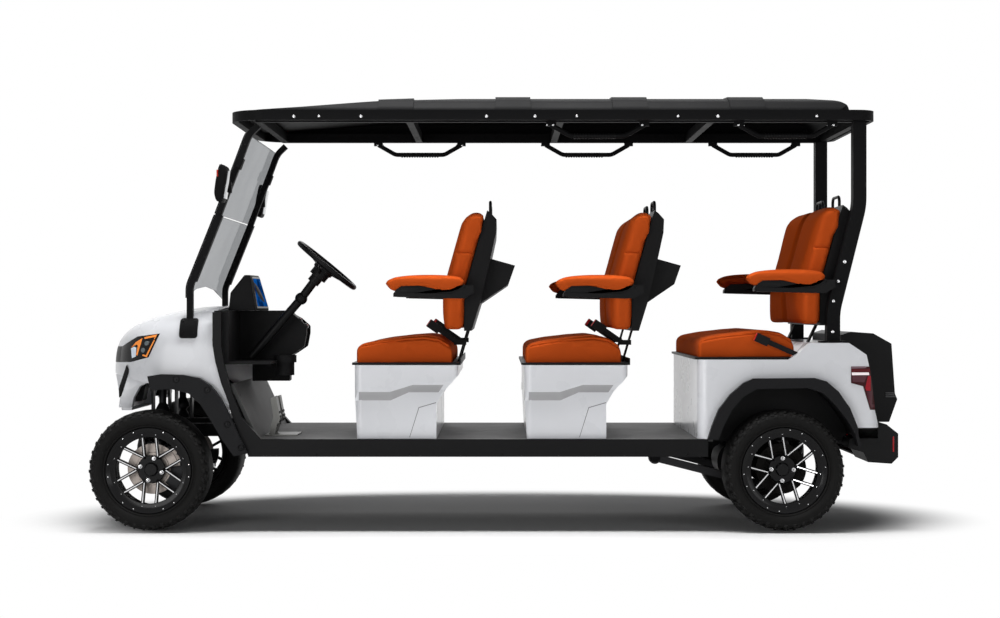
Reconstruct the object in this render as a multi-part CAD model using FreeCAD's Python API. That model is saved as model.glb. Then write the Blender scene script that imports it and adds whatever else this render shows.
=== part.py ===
import FreeCAD, Part
import math
import os

# Six-seat lifted golf cart with forward-facing benches and a full-length roof.
# Frame: origin on the ground under the middle of the cart, +Z up, the nose points along -X
# and the driver sits on the -Y side. All lengths are in millimetres, all angles in degrees.

# Wheels and stance
wheelbase = 2870.0
front_axle_x = -1586.0
tyre_diameter = 560.0
tyre_width = 235.0
wheels_over_faces = 1300.0
tyre_shoulder = 26.0
sidewall_height_share = 0.36
rim_flange_diameter = 390.0
rim_bead_diameter = 356.0
rim_barrel_wall = 7.0
rim_flange_wall = 9.0
rim_inset = 14.0
spoke_count = 6
spoke_width = 15.0
spoke_depth = 20.0
spoke_gap = 46.0
rim_dish = 60.0
rim_rear_turn = -13.7
lug_turn = 15.0
hub_pad_diameter = 128.0
hub_pad_depth = 22.0
hub_cap_diameter = 62.0
hub_cap_height = 16.0
spindle_diameter = 34.0
spindle_clearance = 0.05
disc_diameter = 232.0
disc_thickness = 8.0

# Front suspension and steering
kingpin_y = 402.0
kingpin_height = 150.0
knuckle_ball_gap = 6.0
lower_arm_inner_y = 175.0
arm_spread = 190.0
arm_tube = 26.0
steer_arm_length = 128.0
steer_arm_thickness = 12.0
tie_rod_diameter = 16.0
tie_rod_gap = 1.5
rack_diameter = 46.0
rack_length = 300.0
coil_diameter = 66.0
coil_turns = 5
coil_share = 0.16
damper_diameter = 34.0
damper_tower_z = 640.0

# Rear axle
axle_tube_diameter = 70.0
diff_width = 190.0
diff_diameter = 210.0
motor_diameter = 190.0
motor_length = 250.0
drum_diameter = 200.0
drum_width = 46.0
trailing_arm_y = 352.0
trailing_arm_width = 40.0
trailing_arm_height = 34.0
trailing_arm_front_x = 720.0
trailing_eye_z = 318.0
trailing_eye_diameter = 58.0

# Deck, sills and chassis
deck_top_z = 421.0
deck_thickness = 14.0
deck_front_x = -1099.0
deck_rear_x = 968.0
body_half_width = 605.0
sill_width = 45.0
sill_height = 80.0
rail_width = 50.0
rail_height = 60.0
rail_y = 215.0
rail_front_x = -1760.0
rail_rear_x = 1690.0
rail_front_rise = 62.0
rail_rear_rise = 72.0
outrigger_width = 40.0
outrigger_count = 5
toe_board_rise = 250.0
toe_board_run = 116.0

# Front body
cowl_length = 586.0
cowl_front_x = -1811.0
cowl_bottom_z = 533.0
cowl_height = 492.0
cowl_wall = 6.0
cowl_inset = 9.0
cowl_half_width = body_half_width - cowl_inset
cowl_rear_x_share = 0.872
cowl_rear_top_share = 0.94
cowl_inner_half_width = 262.0
trim_width = 38.0
lamp_gap = 0.3

# Dashboard
dash_front_x = -1304.0
dash_length = 387.0
dash_bottom_z = 758.0
dash_height = 244.0
dash_half_width = 560.0
dash_wall = 12.0
cubby_width = 300.0
pod_width = 190.0
cup_bore_diameter = 76.0
cup_wall = 5.0
cup_depth = 94.0
cup_center_x = -1010.0
cup_center_y = -272.0
cup_top_z = 793.0

# Steering column and wheel
driver_y = -300.0
steer_center_x = -811.0
steer_center_z = 1214.0
steer_wheel_diameter = 348.0
steer_grip_diameter = 25.0
steer_tilt = 50.5
column_diameter = 40.0
column_gap = 2.0

# Pillars, roof and glass
front_pillar_y = 530.0
pillar_width = 32.0
pillar_depth = 28.0
front_pillar_x = -1413.0
front_pillar_bend_radius = 110.0
pillar_foot_size = 82.0
pillar_foot_thickness = 8.0
rear_pillar_y = 500.0
rear_pillar_width = 60.0
rear_pillar_top_x = 1642.0
rear_pillar_knee_z = 1480.0
rear_pillar_foot_x = 1522.0
rear_pillar_foot_z = 1000.0
rear_pillar_bend_radius = 320.0
roof_front_x = -1238.0
roof_rear_x = 1712.0
roof_half_width = 572.0
roof_brim_bottom_z = 1868.0
roof_brim_height = 46.0
roof_crown_z = 1990.0
roof_block_height = 9.0
roof_pad_z = 1996.0
roof_wall = 6.0
roof_bend_radius = 170.0
roof_block_length = 160.0
roof_block_pitch = 534.0
roof_block_count = 4
roof_block_first_x = -555.0
header_width = 32.0
glass_thickness = 5.0
glass_gap = 0.3
glass_half_width = 546.0
glass_bottom_z = 1060.0
glass_split_z = 1442.0
glass_top_z = 1812.0
glass_seam = 6.0
clamp_width = 40.0
mirror_height = 178.0
mirror_width = 112.0
mirror_depth = 42.0
mirror_center_z = 1568.0
mirror_y = 622.0
handle_tube = 22.0
handle_length = 470.0
handle_grip_length = 250.0
handle_drop = 50.0
handle_foot = 44.0
handle_pitch = 858.0
handle_first_x = -646.0

# Benches
bench_first_x = -660.0
bench_pitch = 770.0
bench_rear_shift = 1558.0
back_rear_shift = 1636.0
base_inset = 22.0
base_half_width = body_half_width - base_inset
base_top_z = 755.0
base_wall = 6.0
base_corner_radius = 34.0
tray_height = 10.0
tray_overhang = 6.0
tray_lip = 30.0
cushion_gap = 0.3
cushion_length = 452.0
cushion_height = 124.0
cushion_half_width = 548.0
back_height = 560.0
back_bottom_z = 909.0
back_pad_front_x = -253.0
back_pad_depth = 190.0
back_half_width = 520.0
back_lobe_gap = 46.0
back_notch_depth = 60.0
pocket_width = 330.0
pocket_wall = 5.0
arm_pad_width = 72.0
arm_pad_length = 366.0
arm_pad_height = 84.0
arm_pad_front_x = -520.0
arm_pad_bottom_z = 1078.0
arm_tray_height = 26.0
bracket_width = 46.0
bracket_thickness = 8.0
bracket_y = 300.0
belt_width = 46.0
belt_thickness = 18.0
belt_length = 205.0
belt_y = 562.0
belt_angle = 24.0
short_belt_length = 165.0
short_belt_angle = 35.0
bar_tube = 14.0
bar_span = 170.0
bar_rise = 48.0

# Rear body
rear_body_front_x = 896.0
rear_body_length = 822.0
rear_body_height = 434.0
rear_body_low_z = 421.3
rear_seat_drop = 75.3
rear_body_wall = 6.0
rear_body_corner = 46.0
arch_shoulder_share = 0.75
liner_inner_y = 402.0
liner_wall = 5.0
box_length = 262.0
box_height = 418.7
box_half_width = 385.0
box_wall = 5.0
bumper_length = 227.0
bumper_height = 181.0
bumper_bottom_z = 306.0
bumper_inset = 45.0
bumper_half_width = body_half_width - bumper_inset
battery_length = 320.0
battery_width = 640.0
battery_start_share = 0.06
battery_height = 250.0

overrun = 40.0
seat_gap = 0.3

rear_axle_x = front_axle_x + wheelbase
axle_z = tyre_diameter / 2
wheel_face_y = wheels_over_faces / 2
wheel_mid_y = wheel_face_y - tyre_width / 2
deck_under_z = deck_top_z - deck_thickness
deck_half_width = body_half_width - sill_width


def vec(x, y, z):
    return FreeCAD.Vector(x, y, z)


def box(x0, x1, y0, y1, z0, z1):
    """A block between two corners."""
    return Part.makeBox(x1 - x0, y1 - y0, z1 - z0, vec(x0, y0, z0))


def rod(start, end, diameter):
    """A round bar from one point to another."""
    run = end - start
    return Part.makeCylinder(diameter / 2, run.Length, start, run)


def rounded_wire(points, radius, closed=True):
    """A wire of straight runs with a tangent arc at each corner, of one radius or of one for each point."""
    count = len(points)
    radii = list(radius) if isinstance(radius, (list, tuple)) else [radius] * count
    corners = []
    for i, corner in enumerate(points):
        ends_here = not closed and i in (0, count - 1)
        before = points[i - 1] - corner
        after = points[(i + 1) % count] - corner
        turn = math.pi - before.getAngle(after)
        if ends_here or radii[i] <= 0 or turn < 0.01:
            corners.append((corner, None, corner))
            continue
        reach = min(radii[i] * math.tan(turn / 2), 0.49 * before.Length, 0.49 * after.Length)
        arc_radius = reach / math.tan(turn / 2)
        start = corner + before.normalize() * reach
        end = corner + after.normalize() * reach
        bisector = (before + after).normalize()
        middle = corner + bisector * (arc_radius / math.cos(turn / 2) - arc_radius)
        corners.append((start, middle, end))
    edges = []
    for i, (start, middle, end) in enumerate(corners):
        if middle is not None:
            edges.append(Part.Arc(start, middle, end).toShape())
        following = corners[(i + 1) % count][0]
        last = not closed and i == count - 1
        if not last and (following - end).Length > 1e-4:
            edges.append(Part.LineSegment(end, following).toShape())
    return Part.Wire(Part.__sortEdges__(edges))


def plate_xz(points, y0, y1, radius=0.0):
    """A side outline, given as (x, z) points, pulled across the cart from y0 to y1."""
    wire = rounded_wire([vec(x, y0, z) for x, z in points], radius)
    return Part.Face(wire).extrude(vec(0, y1 - y0, 0))


def plate_xy(points, z0, z1, radius=0.0):
    """A plan outline, given as (x, y) points, pulled up from z0 to z1."""
    wire = rounded_wire([vec(x, y, z0) for x, y in points], radius)
    return Part.Face(wire).extrude(vec(0, 0, z1 - z0))


def plate_yz(points, x0, x1, radius=0.0):
    """A front outline, given as (y, z) points, pulled along the cart from x0 to x1."""
    wire = rounded_wire([vec(x0, y, z) for y, z in points], radius)
    return Part.Face(wire).extrude(vec(x1 - x0, 0, 0))


def placed(shares, x0, z0, length, height):
    """Outline points from shares of a named length and height, counted from a named corner."""
    return [(x0 + u * length, z0 + v * height) for u, v in shares]


def rectangle(u0, u1, v0, v1):
    return [(u0, v0), (u1, v0), (u1, v1), (u0, v1)]


def mirrored(shape):
    """The same piece on the other side of the cart."""
    return shape.mirror(vec(0, 0, 0), vec(0, 1, 0))


def both_sides(shape):
    return [shape, mirrored(shape)]


def shifted(shape, x, y=0.0, z=0.0):
    moved = shape.copy()
    moved.translate(vec(x, y, z))
    return moved


def fused(shapes):
    """One solid from pieces that touch or overlap."""
    whole = shapes[0]
    if len(shapes) > 1:
        whole = whole.multiFuse(shapes[1:])
    return whole.removeSplitter()


def offset_line(points, distance):
    """An open line in the side view, moved sideways by a distance, with mitred corners."""
    moved = []
    for i, (x, z) in enumerate(points):
        before = points[max(i - 1, 0)]
        after = points[min(i + 1, len(points) - 1)]
        first = vec(x - before[0], 0, z - before[1])
        second = vec(after[0] - x, 0, after[1] - z)
        first = first if first.Length > 0 else second
        second = second if second.Length > 0 else first
        first.normalize()
        second.normalize()
        middle = (first + second).normalize()
        reach = distance / middle.dot(first)
        moved.append((x - middle.z * reach, z + middle.x * reach))
    return moved


def bent_band(points, width, y0, y1, radius):
    """A flat-sided tube or strip that follows a line in the side view, with rounded bends."""
    left = offset_line(points, width / 2)
    right = offset_line(points, -width / 2)
    inner = max(radius - width / 2, width / 2)
    outer = radius + width / 2
    radii = []
    for i in range(1, len(points) - 1):
        a = vec(points[i][0] - points[i - 1][0], 0, points[i][1] - points[i - 1][1])
        b = vec(points[i + 1][0] - points[i][0], 0, points[i + 1][1] - points[i][1])
        radii.append((inner, outer) if a.cross(b).y < 0 else (outer, inner))
    left_radii = [0.0] + [pair[0] for pair in radii] + [0.0]
    right_radii = [0.0] + [pair[1] for pair in radii] + [0.0]
    return plate_xz(left + right[::-1], y0, y1, left_radii + right_radii[::-1])


def round_tube(points, diameter, bend):
    """A round bar along a line of points with tangent bends."""
    path = rounded_wire(points, bend, closed=False)
    start = points[0]
    heading = points[1] - points[0]
    ring = Part.Wire(Part.makeCircle(diameter / 2, start, heading))
    return path.makePipeShell([ring], True, False)


def eased(shape, radius, chosen):
    """Rounds the edges that a test picks."""
    edges = [edge for edge in shape.Edges if chosen(edge)]
    return shape.makeFillet(radius, edges)


def turned_about_y(outline, y_sign=1.0):
    """A body of revolution about the wheel axis, from (radius, y) points."""
    wire = Part.makePolygon([vec(0, y_sign * y, r) for r, y in outline + outline[:1]])
    return Part.Face(wire).revolve(vec(0, 0, 0), vec(0, 1, 0), 360)


def save(name, shapes):
    """Writes one node, of one solid or several, moved so that the cart's middle is at x = 0."""
    shapes = shapes if isinstance(shapes, list) else [shapes]
    solids = [solid for shape in shapes for solid in shape.Solids]
    whole = solids[0] if len(solids) == 1 else Part.makeCompound(solids)
    cart_front_x = front_axle_x - tyre_diameter / 2
    cart_rear_x = box_front_x + box_length
    whole = shifted(whole, -(cart_front_x + cart_rear_x) / 2)
    whole.exportStep(os.path.join("parts", name + ".step"))


# Wheels: a plain tyre out to the tips of its tread on a six-armed split-spoke rim.

tyre_bead_shelf = 87.5
tyre_flange_room = 0.5
rim_face_ring = 21.0
rim_ring_depth = 10.0
lug_circle_diameter = 101.6
lug_diameter = 15.0
lug_height = 5.0
hub_boss_diameter = 74.0
hub_boss_inner_y = -24.0
spindle_tip_gap = 8.0
caliper_depth = 40.0
caliper_span = 52.0
caliper_angle = -20.0
caliper_outer_radius = 142.0
caliper_inner_radius = 84.0
disc_gap = 4.0


def tyre():
    tread_r = tyre_diameter / 2
    bead_r = rim_bead_diameter / 2 + seat_gap
    flange_r = rim_flange_diameter / 2 + tyre_flange_room
    half = tyre_width / 2
    side_r = flange_r + (tread_r - flange_r) * sidewall_height_share
    outer = [
        (bead_r, tyre_bead_shelf),
        (flange_r, tyre_bead_shelf),
        (side_r, half),
        (tread_r, half - tyre_shoulder),
    ]
    inner = [(r, -y) for r, y in outer[::-1]]
    return turned_about_y(outer + inner)


def spoke_pair(face_y):
    """Two level bars that run from the face ring in to the dished hub, for the arm that points up."""
    reach = rim_bead_diameter / 2 - rim_barrel_wall - rim_face_ring / 2
    start = hub_pad_diameter / 2 - spoke_width
    outline = [
        (face_y, reach),
        (face_y - rim_dish, start),
        (face_y - rim_dish - spoke_depth, start),
        (face_y - spoke_depth, reach),
    ]
    inner_x = spoke_gap / 2
    right = plate_yz(outline, inner_x, inner_x + spoke_width)
    left = plate_yz(outline, -inner_x - spoke_width, -inner_x)
    return [left, right]


def rim(disc_radius, disc_depth):
    """The rim with its hub, lug bolts and the disc or drum that turns with it. Its face points along +Y."""
    flange_r = rim_flange_diameter / 2
    bead_r = rim_bead_diameter / 2
    bore_r = bead_r - rim_barrel_wall
    ring_r = bore_r - rim_face_ring
    shelf = tyre_bead_shelf + seat_gap
    lip = shelf + rim_flange_wall
    face_y = lip - rim_inset
    outline = [
        (bore_r, -lip),
        (flange_r, -lip),
        (flange_r, -shelf),
        (bead_r, -shelf),
        (bead_r, shelf),
        (flange_r, shelf),
        (flange_r, lip),
        (bore_r, face_y),
        (ring_r, face_y),
        (ring_r, face_y - rim_ring_depth),
        (bore_r, face_y - rim_ring_depth),
    ]
    pieces = [turned_about_y(outline)]
    for number in range(spoke_count):
        for bar in spoke_pair(face_y):
            bar.rotate(vec(0, 0, 0), vec(0, 1, 0), number * 360 / spoke_count)
            pieces.append(bar)
    hub_y = face_y - rim_dish
    pad_back = hub_y - hub_pad_depth
    pieces.append(rod(vec(0, pad_back, 0), vec(0, hub_y, 0), hub_pad_diameter))
    pieces.append(rod(vec(0, pad_back, 0), vec(0, hub_y + hub_cap_height, 0), hub_cap_diameter))
    pieces.append(rod(vec(0, hub_boss_inner_y, 0), vec(0, pad_back, 0), hub_boss_diameter))
    disc_back = hub_boss_inner_y
    pieces.append(rod(vec(0, disc_back, 0), vec(0, disc_back + disc_depth, 0), 2 * disc_radius))
    for number in range(4):
        angle = math.radians(lug_turn + 90 * number)
        x = lug_circle_diameter / 2 * math.sin(angle)
        z = lug_circle_diameter / 2 * math.cos(angle)
        pieces.append(rod(vec(x, pad_back, z), vec(x, hub_y + lug_height, z), lug_diameter))
    whole = fused(pieces)
    bore_end = pad_back + spindle_tip_gap
    bore = rod(
        vec(0, hub_boss_inner_y - overrun, 0),
        vec(0, bore_end, 0),
        spindle_diameter + 2 * spindle_clearance,
    )
    return whole.cut(bore)


def wheels():
    """Four wheels, left and right, front and rear, each with its own tyre and rim."""
    for end, axle_x in (("front", front_axle_x), ("rear", rear_axle_x)):
        disc_radius = disc_diameter / 2 if end == "front" else drum_diameter / 2
        disc_depth = disc_thickness if end == "front" else drum_width / 2
        right_tyre = shifted(tyre(), axle_x, wheel_mid_y, axle_z)
        hub = rim(disc_radius, disc_depth)
        if end == "rear":
            hub.rotate(vec(0, 0, 0), vec(0, 1, 0), rim_rear_turn)
        right_rim = shifted(hub, axle_x, wheel_mid_y, axle_z)
        save("tyre_" + end + "_right", right_tyre)
        save("tyre_" + end + "_left", mirrored(right_tyre))
        save("rim_" + end + "_right", right_rim)
        save("rim_" + end + "_left", mirrored(right_rim))


def spindle(root_y):
    """The stub that a wheel turns on, from a root out into the hub, for the wheel on the +Y side."""
    face_y = tyre_bead_shelf + seat_gap + rim_flange_wall - rim_inset
    tip = wheel_mid_y + face_y - rim_dish - hub_pad_depth + spindle_tip_gap / 2
    return rod(vec(0, root_y, 0), vec(0, tip, 0), spindle_diameter)


# Front suspension: wishbones, coil-over dampers, and knuckles on upright kingpins.

knuckle_boss_diameter = 62.0
knuckle_column_diameter = 44.0
arm_eye_diameter = 50.0
arm_eye_thickness = 16.0
upper_arm_inner_y = 190.0
upper_arm_rise = 10.0
damper_foot_y = 288.0
damper_head_y = 270.0
tie_rod_eye_diameter = 34.0
tie_rod_eye_thickness = 16.0
steer_arm_width = 26.0
caliper_arm_width = 44.0
caliper_arm_thickness = 12.0

kingpin_low_z = axle_z - kingpin_height / 2
kingpin_high_z = axle_z + kingpin_height / 2
steer_arm_low_z = axle_z - kingpin_height / 2 + knuckle_ball_gap + tie_rod_eye_thickness + tie_rod_gap
tie_rod_z = steer_arm_low_z - tie_rod_gap - tie_rod_eye_thickness / 2


def ring_sector(inner_r, outer_r, y0, y1, middle_angle, span):
    """A block bent round the wheel axis."""
    blank = turned_about_y([(inner_r, y0), (outer_r, y0), (outer_r, y1), (inner_r, y1)])
    reach = 2 * outer_r
    fan = [(0.0, 0.0)]
    for angle in (middle_angle - span / 2, middle_angle + span / 2):
        fan.append((reach * math.cos(math.radians(angle)), reach * math.sin(math.radians(angle))))
    return blank.common(plate_xz(fan, y0 - overrun, y1 + overrun))


def knuckle():
    """The right knuckle: upright, spindle, rearward steering arm and brake caliper."""
    upright = rod(
        vec(0, kingpin_y, kingpin_low_z - axle_z),
        vec(0, kingpin_y, kingpin_high_z - axle_z),
        knuckle_column_diameter,
    )
    arm_z = steer_arm_low_z - axle_z
    arm = box(
        0,
        steer_arm_length,
        kingpin_y - steer_arm_width / 2,
        kingpin_y + steer_arm_width / 2,
        arm_z,
        arm_z + steer_arm_thickness,
    )
    arm_end = Part.makeCylinder(
        tie_rod_eye_diameter / 2, steer_arm_thickness, vec(steer_arm_length, kingpin_y, arm_z)
    )
    disc_y = wheel_mid_y + hub_boss_inner_y
    back_y = disc_y - disc_gap
    plate = box(
        0,
        caliper_inner_radius + caliper_depth / 2,
        back_y - caliper_arm_thickness,
        back_y,
        -caliper_arm_width / 2,
        caliper_arm_width / 2,
    )
    plate.rotate(vec(0, 0, 0), vec(0, 1, 0), -caliper_angle)
    neck = rod(vec(0, kingpin_y, 0), vec(0, back_y, 0), knuckle_boss_diameter)
    body = ring_sector(
        caliper_inner_radius,
        caliper_outer_radius,
        back_y - caliper_arm_thickness,
        disc_y + caliper_depth / 2,
        caliper_angle,
        caliper_span,
    )
    slot = ring_sector(
        spindle_diameter / 2,
        disc_diameter / 2 + disc_gap,
        back_y,
        disc_y + disc_thickness + disc_gap,
        caliper_angle,
        2 * caliper_span,
    )
    whole = fused([upright, neck, arm, arm_end, plate, body.cut(slot), spindle(kingpin_y)])
    return shifted(whole, front_axle_x, 0, axle_z)


crossmember_half_width = 240.0
crossmember_thickness = 8.0
arm_pivot_diameter = 34.0
tower_thickness = 10.0
tower_width = 120.0
tower_reach = 60.0
rack_clearance = 0.05
rack_clip_width = 34.0
rack_clip_thickness = 12.0


def wishbone(inner_y, inner_z, eye_z):
    """A two-legged arm from its pivot tube out to the eye at the kingpin."""
    half = arm_spread / 2
    eye = Part.makeCylinder(
        arm_eye_diameter / 2, arm_eye_thickness, vec(0, kingpin_y, eye_z - arm_eye_thickness / 2)
    )
    pivot = rod(vec(-half, inner_y, inner_z), vec(half, inner_y, inner_z), arm_pivot_diameter)
    leg_end = arm_tube / 2
    legs = []
    for side in (-1, 1):
        start = vec(side * (half - leg_end), inner_y, inner_z)
        legs.append(rod(start, vec(side * leg_end / 2, kingpin_y, eye_z), arm_tube))
    over = box(
        -half,
        half,
        kingpin_y - arm_eye_diameter,
        kingpin_y + arm_eye_diameter,
        eye_z + arm_eye_thickness / 2,
        eye_z + overrun,
    )
    under = box(
        -half,
        half,
        kingpin_y - arm_eye_diameter,
        kingpin_y + arm_eye_diameter,
        eye_z - overrun,
        eye_z - arm_eye_thickness / 2,
    )
    return fused([eye, pivot] + legs).cut(over).cut(under)


def coil_over(foot, head):
    """A damper body inside a coil spring, as one piece, from its foot to its head."""
    length = (head - foot).Length
    core = damper_diameter / 2
    outer = coil_diameter / 2
    outline = [(0.0, 0.0), (core, 0.0), (core, length * coil_share)]
    step = length * (1 - 2 * coil_share) / (2 * coil_turns)
    at = length * coil_share
    for _ in range(coil_turns):
        outline.append((outer, at + step / 2))
        outline.append((outer, at + step))
        outline.append((core, at + 2 * step))
        at += 2 * step
    outline += [(core, length), (0.0, length)]
    wire = Part.makePolygon([vec(r, 0, h) for r, h in outline + outline[:1]])
    upright = Part.Face(wire).revolve(vec(0, 0, 0), vec(0, 0, 1), 360)
    heading = head - foot
    upright.rotate(vec(0, 0, 0), vec(1, 0, 0), -math.degrees(math.atan2(heading.y, heading.z)))
    return shifted(upright, foot.x, foot.y, foot.z)


def front_suspension():
    """Wishbones, dampers and the steering rack, on both sides of a plate crossmember."""
    lower_z = kingpin_low_z - seat_gap - arm_eye_thickness / 2
    upper_z = kingpin_high_z + seat_gap + arm_eye_thickness / 2
    pieces = []
    half = arm_spread / 2
    plate_top = deck_under_z - rail_height + rail_front_rise - seat_gap
    for side in (-1, 1):
        x = side * (half + crossmember_thickness / 2)
        low = lower_z - arm_pivot_diameter / 2
        pieces.append(
            box(
                x - crossmember_thickness / 2,
                x + crossmember_thickness / 2,
                -crossmember_half_width + rail_width / 2,
                crossmember_half_width - rail_width / 2,
                low,
                plate_top,
            )
        )
    left = []
    left.append(wishbone(lower_arm_inner_y, lower_z, lower_z))
    left.append(wishbone(upper_arm_inner_y, upper_z + upper_arm_rise, upper_z))
    foot = vec(0, damper_foot_y, lower_z)
    head = vec(0, damper_head_y, damper_tower_z)
    left.append(coil_over(foot, head))
    left.append(rod(vec(-half / 2, damper_foot_y, lower_z), vec(half / 2, damper_foot_y, lower_z), arm_tube))
    tower_low = deck_under_z + rail_front_rise + seat_gap
    left.append(
        box(
            -tower_width / 2,
            tower_width / 2,
            crossmember_half_width - rail_width,
            damper_head_y + tower_reach / 2,
            damper_tower_z,
            damper_tower_z + tower_thickness,
        )
    )
    for side in (-1, 1):
        x = side * (tower_width / 2 - tower_thickness / 2)
        left.append(
            box(
                x - tower_thickness / 2,
                x + tower_thickness / 2,
                crossmember_half_width - rail_width,
                crossmember_half_width,
                tower_low,
                damper_tower_z,
            )
        )
    for piece in left:
        pieces += both_sides(piece)
    z = tie_rod_z
    rack = rod(
        vec(steer_arm_length, -rack_length / 2, z),
        vec(steer_arm_length, rack_length / 2, z),
        rack_diameter,
    )
    pieces.append(rack)
    for side in (-1, 1):
        y = side * (rack_length / 2 - rack_clip_width)
        pieces.append(
            box(
                half,
                steer_arm_length,
                y - rack_clip_width / 2,
                y + rack_clip_width / 2,
                z - rack_clip_thickness / 2,
                z + rack_clip_thickness / 2,
            )
        )
    whole = fused(pieces)
    bore = rod(
        vec(steer_arm_length, -rack_length, z),
        vec(steer_arm_length, rack_length, z),
        tie_rod_diameter + 2 * rack_clearance,
    )
    return shifted(whole.cut(bore), front_axle_x)


def tie_rod():
    """The rod that the rack pushes from side to side, with an eye under each steering arm."""
    x = front_axle_x + steer_arm_length
    bar = rod(vec(x, -kingpin_y, tie_rod_z), vec(x, kingpin_y, tie_rod_z), tie_rod_diameter)
    low = tie_rod_z - tie_rod_eye_thickness / 2
    eyes = [
        Part.makeCylinder(tie_rod_eye_diameter / 2, tie_rod_eye_thickness, vec(x, side * kingpin_y, low))
        for side in (-1, 1)
    ]
    return fused([bar] + eyes)


# Rear axle: a beam with its differential and motor, trailing arms and coil-over dampers.

motor_x_offset = -150.0
axle_flange_diameter = 150.0
axle_flange_thickness = 12.0
damper_rear_offset = 94.0
damper_rear_head_z = 620.0
seat_saddle_length = 110.0
saddle_height = 60.0
hanger_thickness = 10.0
hanger_length = 78.0


def rear_axle():
    tube = rod(vec(0, -liner_inner_y, 0), vec(0, liner_inner_y, 0), axle_tube_diameter)
    diff = rod(vec(0, -diff_width / 2, 0), vec(0, diff_width / 2, 0), diff_diameter)
    motor = rod(
        vec(motor_x_offset, -motor_length / 2, 0),
        vec(motor_x_offset, motor_length / 2, 0),
        motor_diameter,
    )
    link = box(motor_x_offset, 0, -diff_width / 2, diff_width / 2, -diff_diameter / 4, diff_diameter / 4)
    pieces = [tube, diff, motor, link]
    flange = rod(
        vec(0, liner_inner_y - axle_flange_thickness, 0), vec(0, liner_inner_y, 0), axle_flange_diameter
    )
    pieces += both_sides(flange) + both_sides(spindle(liner_inner_y - axle_flange_thickness))
    saddle = box(
        -seat_saddle_length / 2,
        seat_saddle_length / 2,
        trailing_arm_y - trailing_arm_width / 2,
        trailing_arm_y + trailing_arm_width / 2,
        -saddle_height,
        0,
    )
    pieces += both_sides(saddle)
    return shifted(fused(pieces), rear_axle_x, 0, axle_z)


def rear_springs():
    """Trailing arms with their front eyes, and the dampers that stand on them behind the seat box."""
    under = axle_z - saddle_height - seat_gap
    arm_line = [
        (trailing_arm_front_x, trailing_eye_z),
        (rear_axle_x - seat_saddle_length, under - trailing_arm_height / 2),
        (rear_axle_x + seat_saddle_length, under - trailing_arm_height / 2),
    ]
    y0 = trailing_arm_y - trailing_arm_width / 2
    arm = bent_band(arm_line, trailing_arm_height, y0, y0 + trailing_arm_width, trailing_arm_height)
    eye = rod(
        vec(trailing_arm_front_x, y0, trailing_eye_z),
        vec(trailing_arm_front_x, y0 + trailing_arm_width, trailing_eye_z),
        trailing_eye_diameter,
    )
    foot_x = rear_axle_x + damper_rear_offset
    foot = vec(foot_x, trailing_arm_y - trailing_arm_width / 4, under - trailing_arm_height / 2)
    head = vec(foot_x, trailing_arm_y - trailing_arm_width / 4, damper_rear_head_z)
    pieces = [arm, eye, coil_over(foot, head)]
    return both_sides(fused(pieces))


# Chassis: two box rails that rise over the axles, cross tubes, outriggers and hangers.

rear_kick_start_x = 985.0
rear_kick_end_x = 1095.0
front_kick_start_x = -1250.0
front_kick_end_x = -1160.0


def chassis_frame():
    low = deck_under_z - rail_height / 2
    line = [
        (rail_front_x, low + rail_front_rise),
        (front_kick_start_x, low + rail_front_rise),
        (front_kick_end_x, low),
        (rear_kick_start_x, low),
        (rear_kick_end_x, low + rail_rear_rise),
        (rail_rear_x, low + rail_rear_rise),
    ]
    rail = bent_band(line, rail_height, rail_y - rail_width / 2, rail_y + rail_width / 2, rail_height)
    pieces = both_sides(rail)
    cross_half = rail_y
    for x, rise in (
        (rail_front_x + rail_width / 2, rail_front_rise),
        (front_kick_end_x + rail_width, 0.0),
        (rear_kick_start_x - rail_width, 0.0),
        (rail_rear_x - rail_width / 2, rail_rear_rise),
        (rear_axle_x + tyre_diameter / 2, rail_rear_rise),
    ):
        z = low + rise
        pieces.append(
            box(
                x - rail_width / 2,
                x + rail_width / 2,
                -cross_half,
                cross_half,
                z - rail_height / 2,
                z + rail_height / 2,
            )
        )
    first = front_kick_end_x + outrigger_width * 2
    last = trailing_arm_front_x
    for number in range(outrigger_count):
        x = first + (last - first) * number / (outrigger_count - 1)
        pieces.append(
            box(
                x - outrigger_width / 2,
                x + outrigger_width / 2,
                -deck_half_width + seat_gap,
                deck_half_width - seat_gap,
                low - rail_height / 6,
                low + rail_height / 2,
            )
        )
    hanger_low = trailing_eye_z
    for side in (-1, 1):
        y = trailing_arm_y + side * (trailing_arm_width / 2 + hanger_thickness / 2 + seat_gap)
        outline = [
            (last - hanger_length / 2, low),
            (last + hanger_length / 2, low),
            (last + hanger_length / 4, hanger_low - hanger_length / 4),
            (last - hanger_length / 4, hanger_low - hanger_length / 4),
        ]
        pieces += both_sides(
            plate_xz(outline, y - hanger_thickness / 2, y + hanger_thickness / 2, hanger_thickness)
        )
    tower_y = rail_y
    top = damper_rear_head_z + seat_gap
    x = rear_axle_x + damper_rear_offset
    for side in (-1, 1):
        foot_z = low + rail_rear_rise
        pieces.append(
            box(
                x - rail_width / 2,
                x + rail_width / 2,
                side * tower_y - rail_width / 2,
                side * tower_y + rail_width / 2,
                foot_z,
                top + tower_thickness,
            )
        )
        y_in = min(side * (tower_y - rail_width / 2), side * (trailing_arm_y + trailing_arm_width / 4))
        y_out = max(side * (tower_y - rail_width / 2), side * (trailing_arm_y + trailing_arm_width / 4))
        pieces.append(box(x - rail_width / 2, x + rail_width / 2, y_in, y_out, top, top + tower_thickness))
    return fused(pieces)


# Floor: a deck plate with a sloped toe board, and the black sills that run up the cowl's edge.


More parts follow.
